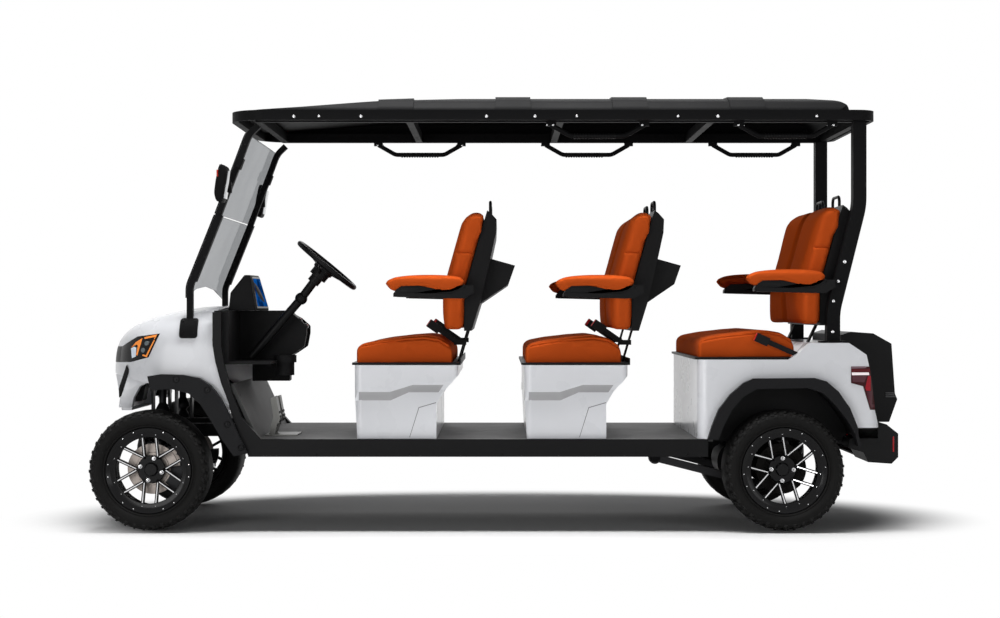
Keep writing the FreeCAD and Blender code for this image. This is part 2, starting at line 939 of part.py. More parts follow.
def floor_deck():
    toe_x = deck_front_x - toe_board_run
    toe_z = deck_top_z + toe_board_rise
    half = deck_half_width
    slope = math.hypot(toe_board_run, toe_board_rise)
    over = deck_thickness * toe_board_rise / slope
    drop = deck_thickness * toe_board_run / slope
    outline = [
        (deck_front_x, deck_top_z),
        (deck_rear_x, deck_top_z),
        (deck_rear_x, deck_under_z),
        (deck_front_x - over, deck_under_z),
        (toe_x - over, toe_z - drop),
        (toe_x, toe_z),
    ]
    return plate_xz(outline, -half, half)


trim_edge_shares = [(0.0, 1.0), (0.0, 0.74), (0.08, 0.56), (0.24, 0.36), (0.46, 0.17)]


def sill_line():
    """The line that the sill and the trim up the cowl's rear edge follow, at its outer edge."""
    top_z = cowl_bottom_z + cowl_height * cowl_rear_top_share
    foot_x = deck_front_x
    top_x = cowl_front_x + cowl_length * cowl_rear_x_share
    points = placed(trim_edge_shares, top_x, deck_top_z, foot_x - top_x, top_z - deck_top_z)
    return points


def side_sills():
    """The sills, each in one with the strip that runs up behind the cowl."""
    y0 = deck_half_width + seat_gap
    y1 = body_half_width
    low = deck_top_z - sill_height
    edge = sill_line()
    back = [(x + trim_width, z) for x, z in edge]
    outline = edge + [
        (deck_front_x - trim_width, low),
        (rear_body_front_x + sill_width, low),
        (rear_body_front_x + sill_width, deck_top_z),
        (deck_front_x + trim_width / 2, deck_top_z),
    ]
    outline += back[::-1]
    sill = plate_xz(outline, y0, y1)
    cowl_side = box(
        cowl_front_x,
        deck_front_x,
        y0 - overrun,
        y1 + overrun,
        cowl_bottom_z - cowl_height,
        cowl_bottom_z + 2 * cowl_height,
    )
    return both_sides(sill.cut(cowl_side.cut(behind_cowl(-seat_gap))))


# Front body: a hollow hood and fender shell, its black insert, lamps, flares and liners.

cowl_station_shares = [
    (0.0, 0.42, 0.56),
    (0.05, 0.62, 0.70),
    (0.13, 0.77, 0.79),
    (0.26, 0.90, 0.875),
    (0.42, 0.972, 0.93),
    (0.62, 1.0, 0.978),
    (0.84, 1.0, 0.998),
    (1.0, 1.0, 1.0),
]
cowl_section_shares = [
    (1.0, 0.0), (1.0, 0.4), (0.99, 0.62), (0.955, 0.8), (0.86, 0.915), (0.66, 0.97), (0.34, 0.994)
]
cowl_rear_shares = [(0.872, 0.945), (0.865, 0.685), (0.892, 0.488), (0.937, 0.289), (1.0, 0.091)]
nose_under_shares = [(0.0, 0.4), (0.052, 0.0)]
lamp_shares = [(0.099, 0.47), (0.109, 0.614), (0.263, 0.713), (0.454, 0.742), (0.367, 0.522), (0.212, 0.476)]
insert_shares = [(-0.07, 0.462), (-0.07, 0.608), (0.12, 0.62), (0.12, 0.47)]
nose_bracket_shares = [(0.14, 0.3), (0.28, 0.3), (0.25, 0.1), (0.13, 0.08)]
nose_bracket_width = 90.0
nose_bracket_round = 12.0
apron_back_shares = [(0.19, 0.4), (0.19, 0.22), (0.13, 0.0)]
front_flare_outer_shares = [
    (0.0, 0.45), (0.04, 0.976), (0.16, 1.0), (0.376, 0.992), (0.536, 0.954), (0.647, 0.866),
    (0.744, 0.715), (0.831, 0.495), (0.919, 0.25), (1.0, 0.04),
]
front_flare_inner_shares = [
    (0.0, 0.42), (0.075, 0.79), (0.16, 0.815), (0.28, 0.82), (0.44, 0.766), (0.551, 0.634), (0.665, 0.411),
    (0.759, 0.21), (0.87, 0.01),
]
front_flare_x = -1607.0
front_flare_length = 468.0
front_flare_low_z = 343.0
front_flare_height = 372.0
flare_reach = 35.0
flare_tuck = 45.0
flare_face_y = body_half_width + flare_reach
flare_inner_y = body_half_width - flare_tuck
flare_lip_height = 14.0
arch_front_rise = 62.0
lamp_inner_y = 300.0
lamp_proud = 2.0


def cowl_volume(grow, open_by):
    """The cowl as a solid body, grown or shrunk by a distance, run on behind and, if open, below."""
    stations = list(cowl_station_shares)
    first = stations[0]
    second = stations[1]
    step = -grow / cowl_length / (second[0] - first[0])
    stations[0] = [a + (b - a) * step for a, b in zip(first, second)]
    stations.append((1 + overrun / cowl_length, 1.0, 1.0))
    sections = []
    base_z = cowl_bottom_z - open_by
    for u, w, v in stations:
        x = cowl_front_x + u * cowl_length
        half = w * cowl_half_width + grow
        top = cowl_bottom_z + v * cowl_height + grow
        right = [vec(x, half * p, base_z + (top - base_z) * q) for p, q in cowl_section_shares]
        left = [vec(x, -point.y, point.z) for point in right]
        curve = Part.BSplineCurve()
        curve.interpolate(right + [vec(x, 0, top)] + left[::-1])
        foot = Part.LineSegment(left[0], right[0])
        sections.append(Part.Wire([curve.toShape(), foot.toShape()]))
    return Part.makeLoft(sections, True, False)


def behind_cowl(gap):
    """The space behind the cowl's rear edge, from the edge of the white panel back into the cab."""
    edge = placed(cowl_rear_shares, cowl_front_x - gap, cowl_bottom_z, cowl_length, cowl_height)
    above = (edge[0][0], edge[0][1] + cowl_height)
    below = (edge[-1][0], cowl_bottom_z - cowl_height)
    rear = edge[-1][0] + cowl_length
    return plate_xz(
        [above] + edge + [below, (rear, below[1]), (rear, above[1])],
        -body_half_width - overrun,
        body_half_width + overrun,
    )


def front_arch(lift):
    """The side outline of the wheel opening, run out below and ahead of the body."""
    line = placed(
        front_flare_inner_shares,
        front_flare_x,
        front_flare_low_z,
        front_flare_length,
        front_flare_height,
    )
    line = offset_line(line[2:], lift)
    front = (cowl_front_x - overrun, line[0][1] + arch_front_rise)
    low = front_flare_low_z - overrun
    return [(front[0], low), front] + line + [(line[-1][0], low)]


def front_cowl():
    shell = cowl_volume(0.0, 0.0).cut(cowl_volume(-cowl_wall, overrun))
    under = placed(nose_under_shares, cowl_front_x, cowl_bottom_z, cowl_length, cowl_height)
    chin = [
        under[0],
        under[1],
        (under[1][0], cowl_bottom_z - overrun),
        (cowl_front_x - overrun, cowl_bottom_z - overrun),
        (cowl_front_x - overrun, under[0][1]),
    ]
    half = body_half_width + overrun
    shell = shell.cut(plate_xz(chin, -half, half)).cut(behind_cowl(0.0))
    arch = plate_xz(front_arch(flare_lip_height + seat_gap), cowl_inner_half_width, half)
    shell = shell.cut(arch).cut(mirrored(arch)).cut(grille_prism(0.0))
    for lamp in both_sides(lamp_prism(0.0)):
        shell = shell.cut(lamp)
    return fused([shell, nose_apron(under)])


def nose_apron(front):
    """The hollow front of the nose below the lamps, between the two wheel openings."""
    back = placed(apron_back_shares, cowl_front_x, cowl_bottom_z, cowl_length, cowl_height)
    outline = [front[1], front[0]] + back
    outer = cowl_volume(0.0, 0.0).common(plate_xz(outline, -cowl_inner_half_width, cowl_inner_half_width))
    half = cowl_inner_half_width - cowl_wall
    room = plate_xz(offset_loop(outline, -cowl_wall), -half, half)
    for x, z in ((2 * cowl_wall, 0.0), (0.0, 2 * cowl_wall)):
        outer = outer.cut(shifted(room, x, 0.0, z))
    return outer.cut(room)


def grille_prism(gap):
    """The space of the black insert that runs across the nose from lamp to lamp."""
    outline = placed(insert_shares, cowl_front_x, cowl_bottom_z, cowl_length, cowl_height)
    half = body_half_width + overrun
    return plate_xz(offset_loop(outline, gap), -half, half)


def lamp_prism(gap):
    """The space of the right headlamp, as its side outline runs through the cowl's skin."""
    outline = placed(lamp_shares, cowl_front_x, cowl_bottom_z, cowl_length, cowl_height)
    return plate_xz(offset_loop(outline, gap), lamp_inner_y - gap, body_half_width + overrun)


def front_grille():
    skin = cowl_volume(0.0, 0.0).cut(cowl_volume(-cowl_wall, overrun))
    insert = skin.common(grille_prism(-lamp_gap))
    for lamp in both_sides(lamp_prism(lamp_gap)):
        insert = insert.cut(lamp)
    return insert


def headlamps():
    skin = cowl_volume(lamp_proud, 0.0).cut(cowl_volume(-cowl_wall, overrun))
    return both_sides(skin.common(lamp_prism(0.0)))


def offset_loop(points, distance):
    """A closed outline moved outwards by a distance, with mitred corners."""
    count = len(points)
    moved = []
    for i, (x, z) in enumerate(points):
        before = points[i - 1]
        after = points[(i + 1) % count]
        first = vec(x - before[0], 0, z - before[1]).normalize()
        second = vec(after[0] - x, 0, after[1] - z).normalize()
        middle = (first + second).normalize()
        reach = distance / middle.dot(first)
        moved.append((x - middle.z * reach, z + middle.x * reach))
    return moved


def flare(outer, inner):
    """One wheel-arch flare on the right: a flat band on the body with a lip turned in under the panel edge."""
    band = plate_xz(outer + inner[::-1], body_half_width + seat_gap, flare_face_y)
    lip_line = offset_line(inner[1:], flare_lip_height)
    lip = plate_xz(inner[1:] + lip_line[::-1], flare_inner_y, flare_face_y)
    return fused([band, lip])


def front_flare():
    outer = placed(
        front_flare_outer_shares,
        front_flare_x,
        front_flare_low_z,
        front_flare_length,
        front_flare_height,
    )
    inner = placed(
        front_flare_inner_shares,
        front_flare_x,
        front_flare_low_z,
        front_flare_length,
        front_flare_height,
    )
    return flare(outer[1:], inner[1:])


# Dashboard with its display pod, the steering column and wheel, and the pedals.

dash_shares = [
    (0.0, 0.0), (0.0, 1.0), (0.79, 1.0), (1.0, 0.7), (1.0, 0.56), (0.97, 0.3), (0.7, 0.01), (0.68, 0.0)
]
dash_corner_radius = 14.0
dash_driver_edge_y = -205.0
dash_wall_depth = 70.0
dash_shelf_length = 262.0
cubby_depth = 190.0
cubby_low_z = 800.0
cubby_high_z = 965.0
cubby_edge = 34.0
cup_rim = 10.0
cup_rim_height = 34.0
console_half_width = 78.0
console_front_x = -1190.0
console_length = 180.0
pod_shares = [(0.0, 0.0), (0.0, 0.12), (0.5, 1.0), (0.68, 0.98), (1.0, 0.0)]
pod_front_x = -1267.0
pod_length = 157.0
pod_height = 168.0
pod_yaw = 2.0
pod_y = -240.0
column_foot_x = -1167.0
column_foot_z = 784.0
column_head_x = -932.0
column_head_z = 1058.0
column_knuckle_diameter = 58.0
column_knuckle_length = 62.0
hub_diameter = 86.0
hub_length = 46.0
hub_sink = 26.0
steer_shaft_diameter = 20.0
steer_shaft_length = 30.0
wheel_spoke_width = 34.0
wheel_spoke_thickness = 9.0
pedal_plate_front_x = -1090.0
pedal_plate_length = 150.0
pedal_plate_thickness = 6.0
pedal_arm_width = 14.0
pedal_pad_width = 70.0
pedal_pad_thickness = 8.0
pedal_lean_shares = [(0.1, 0.0), (0.26, 0.0), (0.42, 0.46), (0.3, 1.0), (0.14, 0.98), (0.24, 0.5)]
pedal_height = 180.0
pedal_gap_y = 130.0


def dashboard():
    x1 = dash_front_x + dash_length
    outline = placed(dash_shares, dash_front_x, dash_bottom_z, dash_length, dash_height)
    whole = plate_xz(outline, dash_driver_edge_y, dash_half_width, dash_corner_radius)
    front = box(
        dash_front_x,
        dash_front_x + dash_wall_depth,
        -dash_half_width,
        dash_driver_edge_y,
        dash_bottom_z,
        dash_bottom_z + dash_height,
    )
    shelf = box(
        dash_front_x,
        dash_front_x + dash_shelf_length,
        -dash_half_width,
        dash_driver_edge_y,
        dash_bottom_z,
        dash_bottom_z + dash_wall,
    )
    console = box(
        console_front_x,
        console_front_x + console_length,
        -console_half_width,
        console_half_width,
        dash_bottom_z - cup_depth,
        dash_bottom_z + dash_wall,
    )
    pieces = [whole, front, shelf, console]
    cubbies = []
    left_span = (dash_driver_edge_y + cubby_edge, -cubby_edge / 2)
    right_span = (dash_half_width - cubby_width, dash_half_width - cubby_edge)
    for y0, y1 in (left_span, right_span):
        cubbies.append(box(x1 - cubby_depth, x1 + overrun, y0, y1, cubby_low_z, cubby_high_z))
    foot = vec(cup_center_x, cup_center_y, cup_top_z - cup_depth)
    rim_z = cup_top_z - cup_rim_height
    wall_radius = cup_bore_diameter / 2 + cup_wall
    cup = Part.makeCylinder(wall_radius, cup_depth, foot)
    cup_ring = Part.makeCylinder(
        wall_radius + cup_rim, cup_rim_height, vec(cup_center_x, cup_center_y, rim_z)
    )
    cup_arm = box(
        cup_center_x - wall_radius,
        cup_center_x,
        cup_center_y,
        dash_driver_edge_y + dash_wall,
        rim_z,
        cup_top_z,
    )
    bore = Part.makeCylinder(cup_bore_diameter / 2, cup_depth + overrun, foot + vec(0, 0, cup_wall))
    whole = fused(pieces + [cup, cup_ring, cup_arm]).cut(Part.makeCompound(cubbies + [bore]))
    return whole.common(behind_cowl(-seat_gap))


def display_pod():
    outline = placed(pod_shares, pod_front_x, dash_bottom_z + dash_height + seat_gap, pod_length, pod_height)
    pod = plate_xz(outline, -pod_width / 2, pod_width / 2, dash_corner_radius / 2)
    pod.rotate(vec(pod_front_x, 0, 0), vec(0, 0, 1), -pod_yaw)
    return shifted(pod, 0, pod_y, 0)


def steer_axis():
    return vec(math.cos(math.radians(steer_tilt)), 0, math.sin(math.radians(steer_tilt)))


def steering_column():
    foot = vec(column_foot_x, driver_y, column_foot_z)
    head = vec(column_head_x, driver_y, column_head_z)
    center = vec(steer_center_x, driver_y, steer_center_z)
    top = center - steer_axis() * (hub_sink + hub_length + column_gap)
    tube = rod(foot, head, column_diameter)
    collar = rod(head, top, column_diameter)
    ball = Part.makeSphere(column_knuckle_diameter / 2, head)
    cap = rod(top - steer_axis() * column_knuckle_length / 2, top, column_knuckle_diameter)
    shaft = rod(top, top + steer_axis() * (column_gap + steer_shaft_length), steer_shaft_diameter)
    return fused([tube, collar, ball, cap, shaft])


def steering_wheel():
    """Rim, three spokes and a hub sunk below the rim, first laid flat and then tilted."""
    ring_r = (steer_wheel_diameter - steer_grip_diameter) / 2
    ring = Part.makeTorus(ring_r, steer_grip_diameter / 2)
    hub = Part.makeCylinder(hub_diameter / 2, hub_length, vec(0, 0, -hub_sink - hub_length))
    pieces = [ring, hub]
    for number in range(3):
        low = -hub_sink - wheel_spoke_thickness
        half = wheel_spoke_width / 2
        spoke = plate_xz(
            [
                (0, low),
                (0, low + wheel_spoke_thickness),
                (ring_r, wheel_spoke_thickness / 2),
                (ring_r, -wheel_spoke_thickness / 2),
            ],
            -half,
            half,
        )
        spoke.rotate(vec(0, 0, 0), vec(0, 0, 1), 120 * number)
        pieces.append(spoke)
    hub_low = -hub_sink - hub_length
    bore_depth = steer_shaft_length + column_gap
    bore = Part.makeCylinder(steer_shaft_diameter / 2 + spindle_clearance, bore_depth, vec(0, 0, hub_low))
    wheel = fused(pieces).cut(bore)
    wheel.rotate(vec(0, 0, 0), vec(0, 1, 0), 90 - steer_tilt)
    return shifted(wheel, steer_center_x, driver_y, steer_center_z)


def pedals():
    """Two pedals on arms that lean over a plate on the deck."""
    x0 = pedal_plate_front_x
    z0 = deck_top_z + seat_gap
    half = pedal_gap_y / 2 + pedal_pad_width / 2
    plate = box(x0, x0 + pedal_plate_length, driver_y - half, driver_y + half, z0, z0 + pedal_plate_thickness)
    pieces = [plate]
    outline = placed(pedal_lean_shares, x0, z0, pedal_plate_length, pedal_height)
    for side in (-1, 1):
        y = driver_y + side * pedal_gap_y / 2
        pieces.append(plate_xz(outline, y - pedal_arm_width / 2, y + pedal_arm_width / 2, pedal_arm_width))
        pad_line = [outline[1], outline[2], outline[3]]
        pad = pad_line + offset_line(pad_line, -pedal_pad_thickness)[::-1]
        low_z = z0 + pedal_height / 3
        strip = plate_xz(pad, y - pedal_pad_width / 2, y + pedal_pad_width / 2)
        pieces.append(
            strip.cut(
                box(
                    x0 - overrun,
                    x0 + pedal_plate_length,
                    y - pedal_pad_width,
                    y + pedal_pad_width,
                    z0 - overrun,
                    low_z,
                )
            )
        )
    return fused(pieces)


# Pillars, windshield, mirrors and the roof with its rails and handles.

front_pillar_shares = [(0.0, -0.2), (0.0, 0.24), (0.42, 0.58), (0.737, 0.85), (0.86, 0.957), (1.0, 1.0)]
front_pillar_run = 312.0
front_pillar_low_z = 882.0
foot_top_z = 968.0
foot_low_z = 877.0
clamp_low_z = 1133.0
clamp_high_z = 1435.0
clamp_block_low_z = 1645.0
clamp_block_high_z = 1692.0
glass_arch_rise = 58.0
mirror_x = -1249.0
mirror_arm_diameter = 14.0
mirror_lean = 12.0
rail_tube_y = 515.0
rail_tube_low_z = 1862.0


def front_pillar_line():
    height = rail_tube_low_z - seat_gap - pillar_width / 2 - front_pillar_low_z
    return placed(front_pillar_shares, front_pillar_x, front_pillar_low_z, front_pillar_run, height)


def front_pillar():
    """The right front pillar with its foot on the cowl and its clamps round the tube."""
    y0 = front_pillar_y - pillar_width / 2
    y1 = front_pillar_y + pillar_width / 2
    line = front_pillar_line()
    tube = bent_band(line, pillar_depth, y0, y1, front_pillar_bend_radius)
    tube = tube.cut(cowl_volume(seat_gap, 0.0)).Solids
    tube = sorted(tube, key=lambda solid: solid.BoundBox.ZMax)[-1]
    half = pillar_foot_size / 2
    square = [
        (front_pillar_x + u * half, z)
        for u, z in ((-1, foot_low_z), (1, foot_low_z), (1, foot_top_z), (-1, foot_top_z))
    ]
    patch = plate_xz(square, front_pillar_y - pillar_foot_size, body_half_width + overrun, half / 3)
    foot = cowl_volume(pillar_foot_thickness, 0.0).cut(cowl_volume(seat_gap, 0.0)).common(patch)
    pieces = [tube, foot]
    grown = (clamp_width - pillar_depth) / 2
    for low, high in ((clamp_low_z, clamp_high_z), (clamp_block_low_z, clamp_block_high_z)):
        band = bent_band(line, pillar_depth + 2 * grown, y0 - grown, y1, front_pillar_bend_radius)
        band = band.common(
            box(front_pillar_x - overrun, front_pillar_x + front_pillar_run, y0 - overrun, y1, low, high)
        )
        keep_off = bent_band(
            offset_line(line, clamp_width),
            clamp_width + pillar_depth,
            y0 - overrun,
            y1 + overrun,
            front_pillar_bend_radius,
        )
        pieces.append(band.cut(keep_off))
    return fused(pieces)


def windshield():
    """Two clear panes that lie on the front of the pillars, one above the other."""
    reach = pillar_depth / 2 + glass_gap + glass_thickness / 2
    sheet = bent_band(
        offset_line(front_pillar_line(), reach),
        glass_thickness,
        -glass_half_width,
        glass_half_width,
        front_pillar_bend_radius + reach,
    )
    x0 = front_pillar_x - clamp_width
    x1 = x0 + front_pillar_run + clamp_width
    panes = []
    lower_pane = (glass_bottom_z, glass_split_z - glass_seam / 2)
    upper_pane = (glass_split_z + glass_seam / 2, glass_top_z)
    for low, high in (lower_pane, upper_pane):
        panes.append(sheet.common(box(x0, x1, -glass_half_width, glass_half_width, low, high)))
    crown = [
        (-glass_half_width - overrun, glass_bottom_z - overrun),
        (glass_half_width + overrun, glass_bottom_z - overrun),
    ]
    arch = [
        (glass_half_width, glass_bottom_z),
        (glass_half_width / 2, glass_bottom_z + glass_arch_rise * arch_shoulder_share),
        (0.0, glass_bottom_z + glass_arch_rise),
    ]
    left = [(-y, z) for y, z in arch[:2][::-1]]
    panes[0] = panes[0].cut(plate_yz(crown + arch + left, x0, x1))
    return panes


def mirrors():
    low = mirror_center_z - mirror_height / 2
    head = box(
        mirror_x - mirror_depth / 2,
        mirror_x + mirror_depth / 2,
        mirror_y,
        mirror_y + mirror_width,
        low,
        low + mirror_height,
    )
    corners = mirror_depth / 4
    head = eased(head, corners, lambda edge: edge.BoundBox.XMin < mirror_x)
    head.rotate(vec(mirror_x, 0, mirror_center_z), vec(0, 1, 0), mirror_lean)
    start = vec(mirror_x, front_pillar_y + pillar_width / 2 + seat_gap, mirror_center_z)
    arm = rod(start, vec(mirror_x, mirror_y + mirror_width / 2, mirror_center_z), mirror_arm_diameter)
    plate = rod(start, start + vec(0, pillar_foot_thickness, 0), pillar_width)
    return both_sides(fused([head, arm, plate]))


roof_crown_shares = [
    (0.0, 0.0), (0.05, 0.13), (0.112, 0.28), (0.236, 0.65), (0.302, 0.76), (0.43, 0.92), (0.58, 1.0),
    (0.8, 1.0), (0.93, 0.85), (0.98, 0.7), (0.995, 0.36), (1.0, 0.0),
]
roof_cross_shares = [(-1.0, 0.0), (-0.99, 0.2), (-0.93, 0.6), (-0.8, 0.85), (-0.5, 0.98), (0.0, 1.0)]
roof_crown_inset = 16.0
roof_crown_rear_inset = 110.0
roof_lip = 36.0
roof_rear_lip = 20.0
roof_corner_radii = [170.0, 90.0, 90.0, 170.0]
roof_room_radii = [60.0, 40.0, 40.0, 60.0]


def roof_crown(inset):
    """The raised middle of the roof, as a solid, shrunk by a distance."""
    base = roof_brim_bottom_z + roof_brim_height - roof_wall
    height = roof_crown_z - base - inset
    half = roof_half_width - roof_crown_inset - inset
    x0 = roof_front_x + roof_crown_inset + inset
    x1 = roof_rear_x - roof_crown_rear_inset - inset
    side = placed(roof_crown_shares, x0, base, x1 - x0, height)
    across = placed(roof_cross_shares, 0.0, base, half, height)
    across += [(-y, z) for y, z in across[:-1][::-1]]
    length = plate_xz(side, -roof_half_width, roof_half_width, [0.0] + [roof_bend_radius] * 10 + [0.0])
    width = plate_yz(across, roof_front_x, roof_rear_x, [0.0] + [roof_bend_radius / 3] * 9 + [0.0])
    radii = [radius - roof_crown_inset - inset for radius in roof_corner_radii]
    plan = plate_xy(rectangle(x0, x1, -half, half), base, base + height, radii)
    return length.common(width).common(plan)


def roof_shell():
    low = roof_brim_bottom_z
    high = low + roof_brim_height
    brim = plate_xy(
        rectangle(roof_front_x, roof_rear_x, -roof_half_width, roof_half_width),
        low,
        high,
        roof_corner_radii,
    )
    slices = []
    for number in range(roof_block_count):
        x = roof_block_first_x + number * roof_block_pitch
        slices.append(box(x, x + roof_block_length, -roof_half_width, roof_half_width, low, roof_pad_z))
    blocks = roof_crown(-roof_block_height).common(Part.makeCompound(slices))
    outer = fused([brim, roof_crown(0.0)] + blocks.Solids)
    side = roof_half_width - roof_lip
    room = plate_xy(
        rectangle(roof_front_x + roof_lip, roof_rear_x - roof_rear_lip, -side, side),
        low - overrun,
        high - roof_wall,
        roof_room_radii,
    )
    return outer.cut(room).cut(roof_crown(roof_wall))


def roof_frame():
    """Two long rails under the roof with cross bars between them."""
    low = rail_tube_low_z
    high = roof_brim_bottom_z + roof_brim_height - roof_wall - seat_gap
    x0 = roof_front_x + roof_lip + roof_bend_radius / 2
    x1 = roof_rear_x - roof_lip - header_width / 4
    rail = box(x0, x1, rail_tube_y - header_width / 2, rail_tube_y + header_width / 2, low, high)
    pieces = both_sides(rail)
    for number in range(roof_bar_count):
        x = x0 + (x1 - x0 - header_width) * number / (roof_bar_count - 1)
        pieces.append(box(x, x + header_width, -rail_tube_y, rail_tube_y, low, high))
    return fused(pieces)


roof_bar_count = 5


def grab_handle(x0):
    """One bent handle tube under a roof rail, with its two feet."""
    top = rail_tube_low_z - seat_gap - handle_tube / 2
    foot = (handle_length - handle_grip_length) / 2
    low = top - handle_drop
    points = [
        (x0 + handle_foot / 2, top),
        (x0 + foot, low),
        (x0 + foot + handle_grip_length, low),
        (x0 + handle_length - handle_foot / 2, top),
    ]
    tube = round_tube([vec(x, rail_tube_y, z) for x, z in points], handle_tube, handle_drop)
    feet = []
    for x in (x0, x0 + handle_length - handle_foot):
        feet.append(
            box(
                x,
                x + handle_foot,
                rail_tube_y - handle_tube / 2,
                rail_tube_y + handle_tube / 2,
                top - handle_tube / 4,
                top + handle_tube / 2,
            )
        )
    return fused([tube] + feet)


def grab_handles():
    rights = [grab_handle(handle_first_x + number * handle_pitch) for number in range(3)]
    return rights + [mirrored(handle) for handle in rights[1:]]


rear_foot_length = 120.0
rear_foot_thickness = 8.0


def rear_pillars():
    y0 = rear_pillar_y - rear_pillar_width / 2
    y1 = rear_pillar_y + rear_pillar_width / 2
    top = rail_tube_low_z - seat_gap
    foot_z = rear_body_low_z + rear_body_height + seat_gap
    line = [
        (rear_pillar_top_x, top),
        (rear_pillar_top_x, rear_pillar_knee_z),
        (rear_pillar_foot_x, rear_pillar_foot_z),
        (rear_pillar_foot_x, foot_z),
    ]
    tube = bent_band(line, rear_pillar_width, y0, y1, rear_pillar_bend_radius)
    x = rear_pillar_foot_x
    foot = box(
        x - rear_foot_length / 2,
        x + rear_foot_length / 2,
        y0 - rear_foot_thickness,
        y1 + rear_foot_thickness,
        foot_z,
        foot_z + rear_foot_thickness,
    )
    return both_sides(fused([tube, foot]))


# Benches: hollow bases, trays, cushions, backs in hard shells, armrests, brackets and buckles.

bench_rear_rise = rear_body_low_z + rear_body_height - rear_seat_drop - base_top_z
bench_shifts = [(0.0, 0.0), (bench_pitch, 0.0), (bench_rear_shift, bench_rear_rise)]
back_shifts = [(0.0, 0.0), (bench_pitch, 0.0), (back_rear_shift, bench_rear_rise)]
base_shares = [
    (0.0, 1.0),
    (1.0, 1.0),
    (1.0, 0.86),
    (0.862, 0.644),
    (0.791, 0.473),
    (0.791, 0.0),
    (0.026, 0.0),
    (0.006, 0.521),
]
base_band_top_shares = [
    (0.0, 0.65), (0.345, 0.65), (0.591, 0.764), (0.949, 0.77), (1.0, 0.86), (1.0, 1.0), (0.0, 1.0)
]
base_band_foot_shares = [
    (0.006, 0.518), (0.372, 0.518), (0.604, 0.626), (0.84, 0.63), (1.0, 0.86), (1.0, 1.0), (0.0, 1.0)
]
base_full_length = 470.0
base_face_inset = 5.0
base_outer_half_width = body_half_width - base_face_inset
tray_front_x = -673.0
tray_length = 495.0
tray_inset = 19.0
tray_half_width = body_half_width - tray_inset
cushion_shares = [
    (0.0, 0.0),
    (0.0, 0.49),
    (0.065, 0.67),
    (0.23, 0.82),
    (0.52, 0.94),
    (0.73, 1.0),
    (0.85, 0.91),
    (0.965, 0.61),
    (1.0, 0.0),
]
cushion_ease = 24.0
pad_front_shares = [
    (0.0, 0.0), (0.0, 0.27), (0.095, 0.445), (0.47, 0.9), (0.57, 0.965), (0.75, 1.0), (1.0, 0.98)
]
pad_rear_shares = [(0.985, 0.95), (0.478, 0.34), (0.458, 0.0)]
shell_rear_shares = [
    (1.02, 0.99),
    (1.12, 0.965),
    (1.25, 0.915),
    (1.235, 0.805),
    (1.11, 0.61),
    (0.85, 0.23),
    (0.64, 0.0),
    (0.468, 0.0),
]
shell_half_width = 465.0
shell_wall = 5.0
pocket_shares = [(1.07, 0.6), (1.7, 0.54), (1.54, 0.385), (0.85, 0.225)]
pocket_y = 215.0
pad_groove_depth = 34.0
arm_pad_shares = [(0.0, 0.52), (0.19, 1.0), (0.78, 1.0), (1.0, 0.34), (0.82, 0.0), (0.12, 0.06)]
arm_pad_corner = 16.0
arm_inner_y = 528.0
arm_tray_shares = [
    (0.14, 0.45),
    (0.13, 1.3),
    (0.84, 1.3),
    (1.0, 2.5),
    (1.09, 2.5),
    (1.1, 1.2),
    (0.98, 0.2),
    (0.84, 0.2),
]
arm_pivot_x = -140.0
arm_pivot_z = 1104.0
arm_pivot_rod = 26.0
bracket_low_x = -198.0
bracket_top_x = -150.0
belt_low_x = -212.0
short_belt_low_x = -203.0
short_belt_low_z = 842.0
buckle_length = 62.0
buckle_width = 40.0


def seat_base():
    """A hollow bench base with flared upper sides, open at its foot."""
    x0 = bench_first_x
    z0 = deck_top_z + seat_gap
    high = base_top_z - z0
    half = base_half_width
    x1 = x0 + base_full_length
    outline = placed(base_shares, x0, z0, base_full_length, high)
    plan = plate_xy(rectangle(x0, x1, -half, half), z0, base_top_z, base_corner_radius)
    core = plate_xz(outline, -half, half).common(plan)
    plan_out = plate_xy(
        rectangle(x0, x1, -base_outer_half_width, base_outer_half_width),
        z0,
        base_top_z,
        base_corner_radius,
    )
    sides = []
    for side in (-1, 1):
        near = [
            vec(x, side * (half - base_wall), z)
            for x, z in placed(base_band_foot_shares, x0, z0, base_full_length, high)
        ]
        far = [
            vec(x, side * base_outer_half_width, z)
            for x, z in placed(base_band_top_shares, x0, z0, base_full_length, high)
        ]
        wires = [Part.makePolygon(points + points[:1]) for points in (near, far)]
        sides.append(Part.makeLoft(wires, True, True).common(plan_out))
    inner = offset_loop(outline, -base_wall)
    inner = [(x, z - overrun) if z < z0 + 2 * base_wall else (x, z) for x, z in inner]
    room = plate_xz(inner, -half + base_wall, half - base_wall)
    room = room.common(
        plate_xy(
            rectangle(x0 + base_wall, x1, -half + base_wall, half - base_wall),
            z0 - overrun,
            base_top_z,
            base_corner_radius - base_wall,
        )
    )
    return fused([core] + sides).cut(room)


def seat_tray():
    x0 = tray_front_x
    x1 = tray_front_x + tray_length
    z0 = base_top_z + seat_gap
    plate = plate_xy(rectangle(x0, x1, -tray_half_width, tray_half_width), z0, z0 + tray_height, tray_lip)
    lip = box(
        x1 - tray_overhang,
        x1,
        -tray_half_width + tray_lip,
        tray_half_width - tray_lip,
        z0,
        z0 + tray_lip,
    )
    return fused([plate, lip])


def pillow(outline, half, ease):
    """A soft block across the cart whose ends draw in."""
    middle = plate_xz(outline, -half + ease, half - ease)
    small = offset_loop(outline, -ease / 2)
    ends = []
    for side in (-1, 1):
        wires = []
        for points, y in ((outline, half - ease), (small, half)):
            corners = [vec(x, side * y, z) for x, z in points]
            wires.append(Part.makePolygon(corners + corners[:1]))
        ends.append(Part.makeLoft(wires, True, True))
    return fused([middle] + ends)


